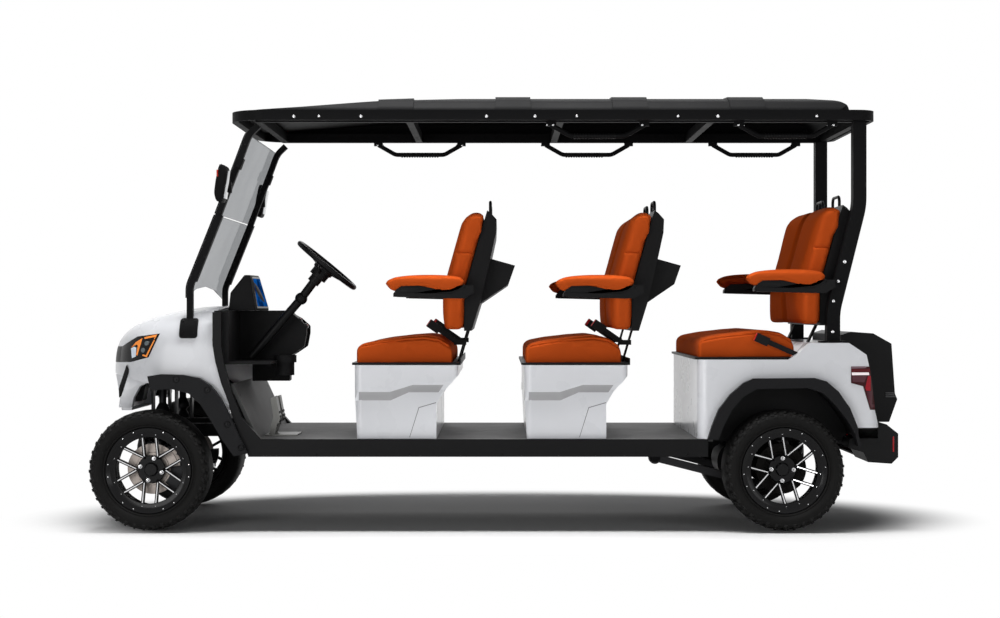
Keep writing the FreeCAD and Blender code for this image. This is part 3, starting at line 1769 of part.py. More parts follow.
def seat_cushion():
    low = base_top_z + seat_gap + tray_height + cushion_gap
    outline = placed(cushion_shares, bench_first_x, low, cushion_length, cushion_height)
    return pillow(outline, cushion_half_width, cushion_ease)


def pad_lines():
    front = placed(pad_front_shares, back_pad_front_x, back_bottom_z, back_pad_depth, back_height)
    rear = placed(pad_rear_shares, back_pad_front_x, back_bottom_z, back_pad_depth, back_height)
    return front, rear


def back_pad():
    """A padded back in two lobes that part at the top and down the front."""
    front, rear = pad_lines()
    whole = pillow(front + rear, back_half_width, cushion_ease)
    top = back_bottom_z + back_height
    x1 = back_pad_front_x + back_pad_depth
    notch = box(
        back_pad_front_x - overrun,
        x1 + overrun,
        -back_lobe_gap / 2,
        back_lobe_gap / 2,
        top - back_notch_depth,
        top + overrun,
    )
    line = offset_line(front, -pad_groove_depth)
    groove = plate_xz(
        [
            (back_pad_front_x - overrun, back_bottom_z - overrun)
        ] + line[:5] + [(back_pad_front_x - overrun, top)],
        -back_lobe_gap / 4,
        back_lobe_gap / 4,
    )
    return whole.cut(notch).cut(groove)


def seat_shell(with_pocket):
    """The hard shell behind a back pad, with its grab bars and, if asked for, its pockets."""
    rear = placed(shell_rear_shares, back_pad_front_x, back_bottom_z, back_pad_depth, back_height)
    trim = pad_lines()[1]
    trim_line = offset_line(trim, cushion_gap)
    outline = rear + trim_line[::-1]
    shell = plate_xz(outline, -shell_half_width, shell_half_width)
    hollow = offset_loop(outline, -shell_wall)
    room = plate_xz(hollow, -shell_half_width + shell_wall, shell_half_width - shell_wall)
    shell = shell.cut(room)
    pieces = [shell]
    top = rear[0]
    for side in (-1, 1):
        y0 = side * pocket_y - bar_span / 2
        y1 = side * pocket_y + bar_span / 2
        points = [
            vec(top[0] + bar_tube, y, z)
            for y, z in ((y0, top[1] - bar_tube), (y0, top[1] + bar_rise), (y1, top[1] + bar_rise), (y1, top[1] - bar_tube))
        ]
        pieces.append(round_tube(points, bar_tube, bar_tube * 2))
    if with_pocket:
        for side in (-1, 1):
            y0 = side * pocket_y - pocket_width / 2
            y1 = side * pocket_y + pocket_width / 2
            basket = placed(pocket_shares, back_pad_front_x, back_bottom_z, back_pad_depth, back_height)
            basket_in = offset_loop(basket, -pocket_wall)
            basket_in = [
                (basket_in[0][0], basket_in[0][1] + overrun),
                (basket_in[1][0], basket_in[1][1] + overrun),
            ] + basket_in[2:]
            space = plate_xz(basket_in, y0 + pocket_wall, y1 - pocket_wall)
            pieces.append(plate_xz(basket, y0, y1).cut(space))
    return fused(pieces)


def armrest_pad():
    outline = placed(arm_pad_shares, arm_pad_front_x, arm_pad_bottom_z, arm_pad_length, arm_pad_height)
    return plate_xz(outline, arm_inner_y, arm_inner_y + arm_pad_width, arm_pad_corner)


def armrest_tray():
    """The black arm that carries an armrest pad, with its pivot rod in to the shell."""
    line = placed(
        arm_tray_shares,
        arm_pad_front_x,
        arm_pad_bottom_z - arm_tray_height,
        arm_pad_length,
        arm_tray_height,
    )
    plate = plate_xz(line, arm_inner_y, arm_inner_y + arm_pad_width)
    pad_outline = placed(arm_pad_shares, arm_pad_front_x, arm_pad_bottom_z, arm_pad_length, arm_pad_height)
    plate = plate.cut(
        plate_xz(offset_loop(pad_outline, seat_gap), arm_inner_y - overrun, body_half_width + overrun)
    )
    y0 = shell_half_width + seat_gap
    pivot = rod(
        vec(arm_pivot_x, y0, arm_pivot_z),
        vec(arm_pivot_x, arm_inner_y + arm_pad_width, arm_pivot_z),
        arm_pivot_rod,
    )
    return fused([plate, pivot])


def seat_bracket(low):
    """A flat bar from a height on a tray or body up to the foot of a back shell."""
    line = [(bracket_low_x, low - overrun / 4), (bracket_top_x, back_bottom_z + overrun / 4)]
    bar = bent_band(
        line, bracket_thickness, bracket_y - bracket_width / 2, bracket_y + bracket_width / 2, 0.0
    )
    room = box(
        bracket_low_x - overrun,
        bracket_top_x + overrun,
        bracket_y - bracket_width,
        bracket_y + bracket_width,
        low,
        back_bottom_z - seat_gap,
    )
    return bar.common(room)


def seat_belt(low_x, low_z, y, length, angle):
    """A buckle on its stiff stalk, with a foot that runs back along what holds it."""
    web = belt_thickness / 3
    stalk = box(-length, 0, y, y + web, 0, belt_width / 2)
    buckle = box(
        -length, buckle_length - length, y - web, y + 2 * web, -buckle_width / 4, 3 * buckle_width / 4
    )
    strap = fused([stalk, buckle])
    strap.rotate(vec(0, 0, 0), vec(0, 1, 0), angle)
    foot = box(low_x - 2 * web, low_x + belt_width, y, y + web, low_z, low_z + belt_width / 2)
    return fused([shifted(strap, low_x, 0, low_z), foot])


def seat_belts():
    """Buckles on the brackets of the first two benches, and beside the cushion of the third."""
    tray_top = base_top_z + seat_gap + tray_height + seat_gap
    short_y = bracket_y + bracket_width / 2 + seat_gap
    short = seat_belt(short_belt_low_x, short_belt_low_z, short_y, short_belt_length, short_belt_angle)
    long = seat_belt(belt_low_x, tray_top, belt_y, belt_length, belt_angle)
    belts = on_benches(short, bench_shifts[:2]) + clear_of_body(on_benches(long, bench_shifts[2:]), seat_gap)
    return [side for belt in belts for side in both_sides(belt)]


def on_benches(shape, shifts):
    return [shifted(shape, dx, 0, dz) for dx, dz in shifts]


# Rear body: a hollow shell over the axle, wheel liners, lamps, storage box and bumper.

rear_body_shares = [
    (0.0, 0.827),
    (0.498, 0.827),
    (0.547, 0.887),
    (0.612, 1.0),
    (0.83, 1.0),
    (0.926, 0.878),
    (0.94, 0.758),
    (0.972, 0.306),
    (1.0, 0.117),
    (1.0, 0.0),
    (0.0, 0.0),
]
rear_lamp_shares = [(0.84, 0.756), (0.99, 0.756), (1.02, 0.304), (0.945, 0.304), (0.906, 0.55), (0.84, 0.583)]
rear_lamp_reach = 135.0
rear_lamp_inner_y = body_half_width - rear_lamp_reach
rear_chin_shares = [(0.87, -0.2), (0.87, 0.117), (1.1, 0.117), (1.1, -0.2)]
rear_flare_outer_shares = [
    (0.0, 0.282),
    (0.028, 0.498),
    (0.072, 0.765),
    (0.149, 1.01),
    (0.237, 1.198),
    (0.303, 1.274),
    (0.711, 1.282),
    (0.787, 1.228),
    (0.865, 1.065),
    (0.942, 0.795),
    (0.996, 0.468),
]
rear_flare_inner_shares = [
    (0.072, 0.282),
    (0.104, 0.498),
    (0.16, 0.765),
    (0.237, 0.98),
    (0.325, 1.105),
    (0.667, 1.12),
    (0.765, 1.035),
    (0.843, 0.85),
    (0.92, 0.61),
    (0.974, 0.39),
    (0.996, 0.174),
]
rear_flare_x = 936.0
rear_flare_length = 680.0
rear_flare_low_z = 343.0
rear_flare_height = 277.0
liner_reach_z = 400.0
liner_lip = 4.0
box_shares = [
    (0.0, 0.964),
    (0.18, 1.0),
    (0.573, 0.982),
    (0.897, 0.868),
    (0.958, 0.314),
    (1.0, 0.253),
    (0.855, 0.0),
    (0.5, 0.0),
    (0.0, 0.6),
]
box_front_x = 1582.0
box_low_z = 485.3
bumper_shares = [
    (0.216, 0.878),
    (0.767, 0.989),
    (1.0, 0.757),
    (1.0, 0.166),
    (0.868, 0.0),
    (0.4, 0.04),
    (0.3, 0.29),
    (0.0, 0.4),
    (0.03, 0.6),
]
bumper_front_x = 1583.0
bumper_wall = 6.0


def rear_volume(grow):
    """The rear body as a solid, grown or shrunk by a distance."""
    outline = placed(rear_body_shares, rear_body_front_x, rear_body_low_z, rear_body_length, rear_body_height)
    half = body_half_width + grow
    block = plate_xz(offset_loop(outline, grow), -half, half)
    x0 = rear_body_front_x - grow
    x1 = rear_body_front_x + rear_body_length + grow
    plan = plate_xy(
        rectangle(x0, x1, -half, half),
        rear_body_low_z - overrun,
        rear_body_low_z + rear_body_height + overrun,
        rear_body_corner + grow,
    )
    return block.common(plan)


def clear_of_body(shapes, gap):
    """The same pieces on the benches, the last one trimmed where the rear body rises behind it."""
    return shapes[:-1] + [shapes[-1].cut(rear_volume(gap))]


def seat_brackets():
    tray_top = base_top_z + seat_gap + tray_height + seat_gap
    bars = on_benches(seat_bracket(tray_top), back_shifts[:2])
    body_top = rear_body_low_z + rear_body_height + seat_gap - back_shifts[2][1]
    bars += on_benches(seat_bracket(body_top), back_shifts[2:])
    return [side for bar in bars for side in both_sides(bar)]


def rear_flare_lines():
    outer = placed(
        rear_flare_outer_shares, rear_flare_x, rear_flare_low_z, rear_flare_length, rear_flare_height
    )
    inner = placed(
        rear_flare_inner_shares, rear_flare_x, rear_flare_low_z, rear_flare_length, rear_flare_height
    )
    return outer, inner


def rear_arch(lift):
    line = offset_line(rear_flare_lines()[1], lift)
    low = rear_flare_low_z - overrun
    return [(line[0][0], low)] + line + [(line[-1][0], low)]


def rear_lamp_prism(gap):
    outline = placed(rear_lamp_shares, rear_body_front_x, rear_body_low_z, rear_body_length, rear_body_height)
    return plate_xz(offset_loop(outline, gap), rear_lamp_inner_y - gap, body_half_width + overrun)


def rear_body():
    inside = rear_volume(-rear_body_wall)
    low = shifted(inside, 0, 0, -rear_body_wall - overrun / 2)
    shell = rear_volume(0.0).cut(inside).cut(low)
    half = body_half_width + overrun
    chin = plate_xz(
        placed(rear_chin_shares, rear_body_front_x, rear_body_low_z, rear_body_length, rear_body_height),
        -half,
        half,
    )
    arch = plate_xz(rear_arch(flare_lip_height + seat_gap), liner_inner_y, half)
    lamp = rear_lamp_prism(0.0)
    return shell.cut(Part.makeCompound([chin, arch, mirrored(arch), lamp, mirrored(lamp)]))


def tail_lamps():
    skin = rear_volume(lamp_proud).cut(rear_volume(-rear_body_wall))
    return both_sides(skin.common(rear_lamp_prism(-lamp_gap)))


def rear_liner():
    """An arch strip over a rear wheel with the wall that closes it on the inner side."""
    line = offset_line(rear_flare_lines()[1], liner_lip)
    strip_points = line + offset_line(line, liner_wall)[::-1]
    strip = plate_xz(strip_points, liner_inner_y, flare_inner_y - seat_gap)
    wall = plate_xz(rear_arch(liner_lip + liner_wall), liner_inner_y - liner_wall, liner_inner_y)
    wall = wall.cut(
        box(
            rear_flare_x - overrun,
            rear_flare_x + rear_flare_length + overrun,
            liner_inner_y - overrun,
            liner_inner_y + overrun,
            0,
            liner_reach_z,
        )
    )
    bumper = offset_loop(
        placed(bumper_shares, bumper_front_x, bumper_bottom_z, bumper_length, bumper_height), seat_gap
    )
    return fused([strip, wall]).cut(plate_xz(bumper, 0, body_half_width))


def front_liner():
    line = placed(
        front_flare_inner_shares,
        front_flare_x,
        front_flare_low_z,
        front_flare_length,
        front_flare_height,
    )
    line = offset_line(line[1:], liner_lip)
    return plate_xz(
        line + offset_line(line, liner_wall)[::-1],
        cowl_inner_half_width + overrun,
        flare_inner_y - seat_gap,
    )


def nose_bracket():
    """The black block between the nose and the front wheel, on the outside of the nose."""
    outline = placed(nose_bracket_shares, cowl_front_x, cowl_bottom_z, cowl_length, cowl_height)
    start = cowl_inner_half_width + seat_gap
    return plate_xz(outline, start, start + nose_bracket_width, nose_bracket_round)


def rear_box():
    """The black storage box that hangs over the tail, with a hollow inside."""
    outline = placed(box_shares, box_front_x, box_low_z, box_length, box_height)
    outer = plate_xz(outline, -box_half_width, box_half_width, box_wall)
    inner = plate_xz(offset_loop(outline, -box_wall), -box_half_width + box_wall, box_half_width - box_wall)
    keep_off = rear_volume(seat_gap)
    return outer.cut(inner.cut(rear_volume(seat_gap + box_wall))).cut(keep_off)


def rear_bumper():
    outline = placed(bumper_shares, bumper_front_x, bumper_bottom_z, bumper_length, bumper_height)
    outer = plate_xz(outline, -bumper_half_width, bumper_half_width)
    inner = offset_loop(outline, -bumper_wall)
    room = plate_xz(inner, -bumper_half_width + bumper_wall, bumper_half_width - bumper_wall)
    reach = crossmember_half_width + bumper_wall
    rail_room = box(
        bumper_front_x - overrun,
        rail_rear_x + bumper_wall,
        -reach,
        reach,
        bumper_bottom_z + bumper_wall,
        bumper_bottom_z + bumper_height,
    )
    return outer.cut(room).cut(rail_room).cut(rear_volume(seat_gap))


def battery_pack():
    x0 = bench_first_x + base_full_length * battery_start_share
    z0 = deck_top_z + seat_gap
    return box(x0, x0 + battery_length, -battery_width / 2, battery_width / 2, z0, z0 + battery_height)


os.makedirs("parts", exist_ok=True)
wheels()
save("knuckle_right", knuckle())
save("knuckle_left", mirrored(knuckle()))
save("front_suspension", front_suspension())
save("tie_rod", tie_rod())
save("rear_axle", rear_axle())
save("rear_springs", rear_springs())
save("chassis_frame", chassis_frame())
save("floor_deck", floor_deck())
save("side_sills", side_sills())
save("front_cowl", front_cowl())
save("headlamps", headlamps())
save("front_grille", front_grille())
save("fender_flares", both_sides(front_flare()) + both_sides(flare(*rear_flare_lines())))
save("dashboard", dashboard())
save("display_pod", display_pod())
save("steering_column", steering_column())
save("steering_wheel", steering_wheel())
save("pedals", pedals())
save("front_pillars", both_sides(front_pillar()))
save("windshield", windshield())
save("mirrors", mirrors())
save("roof_shell", roof_shell())
save("roof_frame", roof_frame())
save("grab_handles", grab_handles())
save("rear_pillars", rear_pillars())
save("seat_base_front", seat_base())
save("seat_base_middle", shifted(seat_base(), bench_pitch))
save("seat_trims", clear_of_body(on_benches(seat_tray(), bench_shifts), seat_gap))
save("seat_cushions", clear_of_body(on_benches(seat_cushion(), bench_shifts), cushion_gap))
save("seat_back_pads", on_benches(back_pad(), back_shifts))
save(
    "seat_shells",
    on_benches(seat_shell(True), back_shifts[:2]) + on_benches(seat_shell(False), back_shifts[2:]),
)
save("armrests", [side for pad in on_benches(armrest_pad(), back_shifts) for side in both_sides(pad)])
save("armrest_trays", [side for tray in on_benches(armrest_tray(), back_shifts) for side in both_sides(tray)])
save("seat_brackets", seat_brackets())
save("seat_belts", seat_belts())
save("rear_body", rear_body())
save("tail_lamps", tail_lamps())
save("wheel_liners", both_sides(front_liner()) + both_sides(rear_liner()) + both_sides(nose_bracket()))
save("rear_box", rear_box())
save("rear_bumper", rear_bumper())
save("battery_pack", battery_pack())
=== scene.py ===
import math
import bmesh
import bpy
from mathutils import Matrix, Vector
from mathutils.bvhtree import BVHTree


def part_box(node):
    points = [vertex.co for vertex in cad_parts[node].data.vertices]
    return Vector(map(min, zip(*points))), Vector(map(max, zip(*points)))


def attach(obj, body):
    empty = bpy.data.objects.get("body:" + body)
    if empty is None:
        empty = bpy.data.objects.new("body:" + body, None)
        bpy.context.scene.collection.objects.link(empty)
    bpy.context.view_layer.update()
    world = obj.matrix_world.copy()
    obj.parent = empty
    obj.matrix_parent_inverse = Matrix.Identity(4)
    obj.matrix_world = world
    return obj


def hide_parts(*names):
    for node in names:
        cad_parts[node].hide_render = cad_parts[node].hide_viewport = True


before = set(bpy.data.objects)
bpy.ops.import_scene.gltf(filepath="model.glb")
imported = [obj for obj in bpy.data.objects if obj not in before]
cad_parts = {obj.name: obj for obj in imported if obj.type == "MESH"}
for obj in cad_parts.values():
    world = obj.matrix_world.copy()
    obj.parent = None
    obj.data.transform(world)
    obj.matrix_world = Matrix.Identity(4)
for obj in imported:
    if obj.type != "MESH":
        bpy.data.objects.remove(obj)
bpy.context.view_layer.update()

# The studio: a long-lens camera beside the cart at chest height, one big soft box overhead, weaker
# ones before both ends and behind, and a pale floor that fades into a white backdrop.
cart_middle = 0.011
camera_distance = 8.86
camera_height = 1.0094
lens_mm = 65.74
camera_data = bpy.data.cameras.new("studio_camera")
camera_data.lens = lens_mm
camera_data.sensor_width = 36.0
camera = bpy.data.objects.new("studio_camera", camera_data)
camera.location = (cart_middle, -camera_distance, camera_height)
camera.rotation_euler = (math.radians(90), 0, 0)
bpy.context.scene.collection.objects.link(camera)
bpy.context.scene.camera = camera
bpy.context.scene.view_settings.view_transform = "Standard"


def soft_lamp(name, place, aim, size, power):
    """A rectangular soft box at a place that points at another."""
    data = bpy.data.lights.new(name, "AREA")
    data.shape = "RECTANGLE"
    data.size, data.size_y = size
    data.energy = power
    lamp = bpy.data.objects.new(name, data)
    lamp.location = place
    lamp.rotation_euler = (Vector(aim) - Vector(place)).to_track_quat("-Z", "Y").to_euler()
    bpy.context.scene.collection.objects.link(lamp)


soft_lamp("overhead_box", (-0.2, -0.7, 4.6), (-0.1, 0.1, 0.0), (3.2, 1.4), 280)
soft_lamp("front_box", (-3.4, -6.2, 1.2), (-0.2, 0.0, 0.9), (3.0, 2.0), 88)
soft_lamp("side_box", (4.2, -5.4, 1.2), (0.6, 0.0, 0.9), (2.4, 2.0), 34)
soft_lamp("back_box", (0.5, 5.0, 3.4), (0.0, 0.0, 1.6), (5.0, 1.6), 40)


def add_nodes(tree, kinds, values=(), links=()):
    """Adds named shader nodes, each a kind with perhaps an option, then sets and links their sockets."""
    nodes = {"shader": tree.nodes.get("Principled BSDF")}
    nodes["output"] = tree.nodes.get("Material Output") or tree.nodes.get("World Output")
    for name, kind in kinds.items():
        kind, *option = kind.split()
        nodes[name] = tree.nodes.new("ShaderNode" + kind)
        if option:
            setattr(nodes[name], *option)
    for name, socket, value in values:
        nodes[name].inputs[socket].default_value = value
    for source, output, target, socket in links:
        tree.links.new(nodes[source].outputs[output], nodes[target].inputs[socket])


def node_material(name, kinds, values, links):
    """A new material with these nodes around its shader."""
    material = bpy.data.materials.new(name)
    material.use_nodes = True
    add_nodes(material.node_tree, kinds, values, links)
    return material


# The node named seen gives one where the camera looks, straight, through glass or by a mirror, so the
# white air and the far floor are seen without lighting the cart.
seen_kinds = {"path": "LightPath", "direct": "Math operation MAXIMUM", "seen": "Math operation MAXIMUM"}
seen_links = (
    ("path", "Is Camera Ray", "direct", 0), ("path", "Is Transmission Ray", "direct", 1),
    ("direct", 0, "seen", 0), ("path", "Is Glossy Ray", "seen", 1),
)
world = bpy.data.worlds.new("studio_air")
bpy.context.scene.world = world
world.use_nodes = True
add_nodes(
    world.node_tree,
    {**seen_kinds, "light": "Background", "white": "Background", "mix": "MixShader"},
    (("light", "Color", (0.95, 0.97, 1.0, 1)), ("light", "Strength", 0.05), ("white", "Color", (1, 1, 1, 1))),
    seen_links + (
        ("seen", 0, "mix", "Fac"), ("light", 0, "mix", 1), ("white", 0, "mix", 2),
        ("mix", 0, "output", "Surface"),
    ),
)

floor_reach = 14.0
floor_mesh = bmesh.new()
bmesh.ops.create_grid(floor_mesh, x_segments=1, y_segments=1, size=floor_reach)
floor_data = bpy.data.meshes.new("studio_floor")
floor_mesh.to_mesh(floor_data)
floor_mesh.free()
floor = bpy.data.objects.new("studio_floor", floor_data)
bpy.context.scene.collection.objects.link(floor)
floor_data.materials.append(node_material(
    "floor_paint",
    {
        **seen_kinds, "place": "TexCoord", "oval": "Mapping", "distance": "VectorMath operation LENGTH",
        "fade": "MapRange interpolation_type SMOOTHSTEP", "far": "Math operation MULTIPLY",
        "white": "Emission",
        "mix": "MixShader",
    },
    (
        ("shader", "Base Color", (0.9, 0.9, 0.9, 1)), ("shader", "Roughness", 0.5),
        ("shader", "Specular IOR Level", 0.0), ("oval", "Scale", (0.36, 0.62, 1.0)),
        ("fade", "From Min", 0.64), ("fade", "From Max", 0.86),
    ),
    seen_links + (
        ("place", "Object", "oval", "Vector"), ("oval", "Vector", "distance", 0),
        ("distance", "Value", "fade", "Value"), ("fade", "Result", "far", 0), ("seen", 0, "far", 1),
        ("far", 0, "mix", "Fac"), ("shader", 0, "mix", 1), ("white", 0, "mix", 2),
        ("mix", 0, "output", "Surface"),
    ),
))


# The rolling frame: powder-coated box rails with welded cross tubes, outriggers and hangers,
# and the lithium pack that is strapped down between them.
def finish_paint(
    name, colour, roughness, metal=0.0, grain=0.0, grain_size=400.0, coat=0.0, dust=0.0, shine=0.09,
):
    """A painted or moulded finish: uneven gloss, a fine grain, and a paler colour along sharp outer edges."""
    # Sharply convex edges are mixed towards a paler colour, which the dust amount lifts further.
    edge_paler_colour = [min(1.0, c * 1.25 + 0.004 + dust) for c in colour]
    kinds = {
        "place": "TexCoord", "cloud": "TexNoise", "gloss": "MapRange", "edges": "NewGeometry",
        "rub": "MapRange", "shades": "Mix data_type RGBA",
    }
    values = [
        ("shader", "Metallic", metal),
        ("shader", "Specular IOR Level", shine if max(colour) < 0.05 else 0.3),
        ("shader", "Coat Weight", coat), ("shader", "Coat Roughness", 0.12),
        ("cloud", "Scale", 7.0), ("cloud", "Detail", 4.0),
        ("gloss", "To Min", roughness * 0.88), ("gloss", "To Max", roughness * 1.12),
        ("rub", "From Min", 0.52), ("rub", "From Max", 0.6), ("rub", "To Max", 0.35),
        ("shades", "A", (*colour, 1)), ("shades", "B", (*edge_paler_colour, 1)),
    ]
    links = [
        ("place", "Object", "cloud", "Vector"), ("cloud", "Fac", "gloss", "Value"),
        ("gloss", "Result", "shader", "Roughness"), ("edges", "Pointiness", "rub", "Value"),
        ("rub", "Result", "shades", "Factor"), ("shades", "Result", "shader", "Base Color"),
    ]
    if grain:
        kinds |= {"pebble": "TexNoise", "bump": "Bump"}
        values += [
            ("pebble", "Scale", grain_size), ("bump", "Strength", grain), ("bump", "Distance", 0.0005),
        ]
        links += [
            ("place", "Object", "pebble", "Vector"), ("pebble", "Fac", "bump", "Height"),
            ("bump", "Normal", "shader", "Normal"),
        ]
    return node_material(name, kinds, values, links)


def dress(material, *names):
    """Gives CAD nodes a finish."""
    for name in names:
        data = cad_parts[name].data
        data.materials.clear()
        data.materials.append(material)


def new_piece(name, mesh, material, body="chassis", slot="black_plastic", smooth_angle=40.0):
    """Turns a finished bmesh into an object at the origin that rides on a body, and frees the bmesh."""
    data = bpy.data.meshes.new(name)
    bmesh.ops.remove_doubles(mesh, verts=mesh.verts, dist=0.00002)
    bmesh.ops.recalc_face_normals(mesh, faces=mesh.faces)
    for face in mesh.faces:
        face.smooth = True
    for edge in mesh.edges:
        if len(edge.link_faces) == 2 and edge.calc_face_angle(0.0) > math.radians(smooth_angle):
            edge.smooth = False
    mesh.to_mesh(data)
    mesh.free()
    data.materials.append(material)
    piece = bpy.data.objects.new(name, data)
    bpy.context.scene.collection.objects.link(piece)
    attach(piece, body)
    return piece


def ease(mesh, geom, radius, segments=2, affect="EDGES"):
    """Rounds edges or corners by a radius."""
    return bmesh.ops.bevel(
        mesh, geom=geom, offset=radius, segments=segments, affect=affect, profile=0.5, material=-1,
    )["faces"]


def thicken(mesh, faces, move):
    """Gives an open sheet a thickness by a copy of it moved away, joined by walls."""
    back = bmesh.ops.extrude_face_region(mesh, geom=faces)["geom"]
    verts = [item for item in back if isinstance(item, bmesh.types.BMVert)]
    bmesh.ops.translate(mesh, verts=verts, vec=move)


def join(mesh, other):
    """Adds another mesh to this one and frees it."""
    data = bpy.data.meshes.new("joined")
    other.to_mesh(data)
    mesh.from_mesh(data)
    bpy.data.meshes.remove(data)
    other.free()


def add_block(mesh, low, high, bevel=0.0, segments=2, turn=None):
    """A box between two corners, its edges rounded, turned by a matrix about its middle."""
    low, high = Vector(low), Vector(high)
    size = high - low
    made = bmesh.ops.create_cube(mesh, size=1.0)["verts"]
    bmesh.ops.scale(mesh, vec=size, verts=made)
    if bevel:
        edges = list({edge for vert in made for edge in vert.link_edges})
        made = list({vert for face in ease(mesh, edges, bevel, segments) for vert in face.verts})
        made = list({v for vert in made for face in vert.link_faces for v in face.verts})
    if turn:
        bmesh.ops.transform(mesh, matrix=turn, verts=made)
    bmesh.ops.translate(mesh, vec=(low + high) / 2, verts=made)
    return made


def add_bar(mesh, start, end, radius, sides=16, end_radius=None, bevel=0.0):
    """A round bar, pin or cap between two points, its ends eased where a bevel is given."""
    start, end = Vector(start), Vector(end)
    run = end - start
    turn = run.to_track_quat("Z", "Y").to_matrix().to_4x4()
    made = bmesh.ops.create_cone(
        mesh, cap_ends=True, segments=sides, radius1=radius,
        radius2=radius if end_radius is None else end_radius, depth=run.length,
    )["verts"]
    if bevel:
        edges = {edge for vert in made for edge in vert.link_edges}
        rims = [edge for edge in edges if any(len(face.verts) > 4 for face in edge.link_faces)]
        rounded = ease(mesh, rims, bevel)
        near = {face for new in rounded for vert in new.verts for face in vert.link_faces}
        made = list({vert for face in near for vert in face.verts})
    bmesh.ops.transform(mesh, matrix=Matrix.Translation((start + end) / 2) @ turn, verts=made)
    return made


frame_black = finish_paint("frame_black", (0.0059, 0.0059, 0.0063), 0.5, grain=0.15, shine=0.03)
dress(frame_black, "chassis_frame", "rear_axle", "roof_frame", "seat_brackets", "battery_pack")


# The running gear: cast knuckles, wishbones and coil-overs in dark grey enamel, and a tie rod
# of bright plated steel under the nose.
gear_grey = finish_paint(
    "gear_grey", (0.0147, 0.0147, 0.016), 0.42, metal=0.5, grain=0.2, grain_size=250.0, dust=0.02,
)
dress(gear_grey, "front_suspension", "rear_springs", "knuckle_left", "knuckle_right")
bright_steel = finish_paint(
    "bright_steel", (0.55, 0.55, 0.56), 0.26, metal=1.0, grain=0.1, grain_size=900.0,
)
dress(bright_steel, "tie_rod")

# The wheels: deep-dished gloss-black alloy rims with six pairs of machined spokes, riveted outer rings,
# four plated lug nuts and a capped hub, in front of a turned brake disc or, at the rear, a dark drum.
rim_flange_r = 0.195
rim_bead_r = 0.178
rim_bore_r = 0.171
rim_shelf_y = 0.0878
rim_lip_y = 0.0968
rim_face_y = 0.0828
rim_dish = 0.06
spoke_count = 6
spoke_root_r = 0.049
spoke_tip_r = 0.1655
spoke_middle_r = (spoke_root_r + spoke_tip_r) / 2
spoke_width = 0.0145
spoke_centre = 0.0305
spoke_depth = 0.02
spoke_slope = rim_dish / (spoke_tip_r - spoke_root_r)
spoke_length = math.hypot(spoke_tip_r - spoke_root_r, rim_dish)
hub_y = rim_face_y - rim_dish
hub_pad_r = 0.064
hub_cap_r = 0.03
hub_cap_height = 0.0155
cap_face_r = 0.0171
lug_circle_r = 0.0508
lug_turn = 15.0
lug_count = 4
rivet_circle_r = 0.1845
rivet_half_gap = 8.7
rear_wheel_turn = -13.7
disc_r = 0.1155
disc_y = -0.024
rim_gloss = finish_paint("rim_gloss", (0.0034, 0.0034, 0.0038), 0.22, coat=0.12)
machined_face = finish_paint(
    "machined_face", (0.62, 0.62, 0.63), 0.22, metal=1.0, grain=0.25, grain_size=1500.0,
)
drum_black = finish_paint("drum_black", (0.012, 0.011, 0.01), 0.6, grain=0.4)
disc_iron = finish_paint("disc_iron", (0.26, 0.23, 0.21), 0.4, metal=1.0, grain=0.3, grain_size=700.0)


def spun_ring(mesh, section, steps=96):
    """A body of revolution about the wheel axis from a closed line of (radius, y) points."""
    verts = [mesh.verts.new((0, y, r)) for r, y in section]
    edges = [mesh.edges.new((verts[i], verts[i - 1])) for i in range(len(verts))]
    return bmesh.ops.spin(
        mesh, geom=verts + edges, cent=(0, 0, 0), axis=(0, 1, 0), angle=math.tau, steps=steps,
        use_merge=True,
    )


def around(angle):
    """The turn about the wheel axis, in degrees clockwise from straight up as seen from outside."""
    return Matrix.Rotation(math.radians(angle), 4, "Y")


def wheel_place(end, side):
    """The move from a wheel's own middle to its place on the cart, mirrored for the left side."""
    low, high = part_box("tyre_" + end + "_" + side)
    middle = (Vector(low) + Vector(high)) / 2
    flip = Matrix.Scale(-1, 4, (0, 1, 0)) if side == "left" else Matrix.Identity(4)
    turn = around(rear_wheel_turn) if end == "rear" else Matrix.Identity(4)
    return Matrix.Translation(middle) @ flip @ turn


def spoke_places(rise):
    """The moves that lay a bar on each spoke, leaned towards the hub, by a rise over the dish's middle."""
    lean = Matrix.Rotation(-math.atan(spoke_slope), 4, "X")
    for number in range(spoke_count):
        for side in (-1, 1):
            middle = (side * spoke_centre, rim_face_y - rim_dish / 2 + rise, spoke_middle_r)
            yield around(number * 360 / spoke_count) @ Matrix.Translation(middle) @ lean


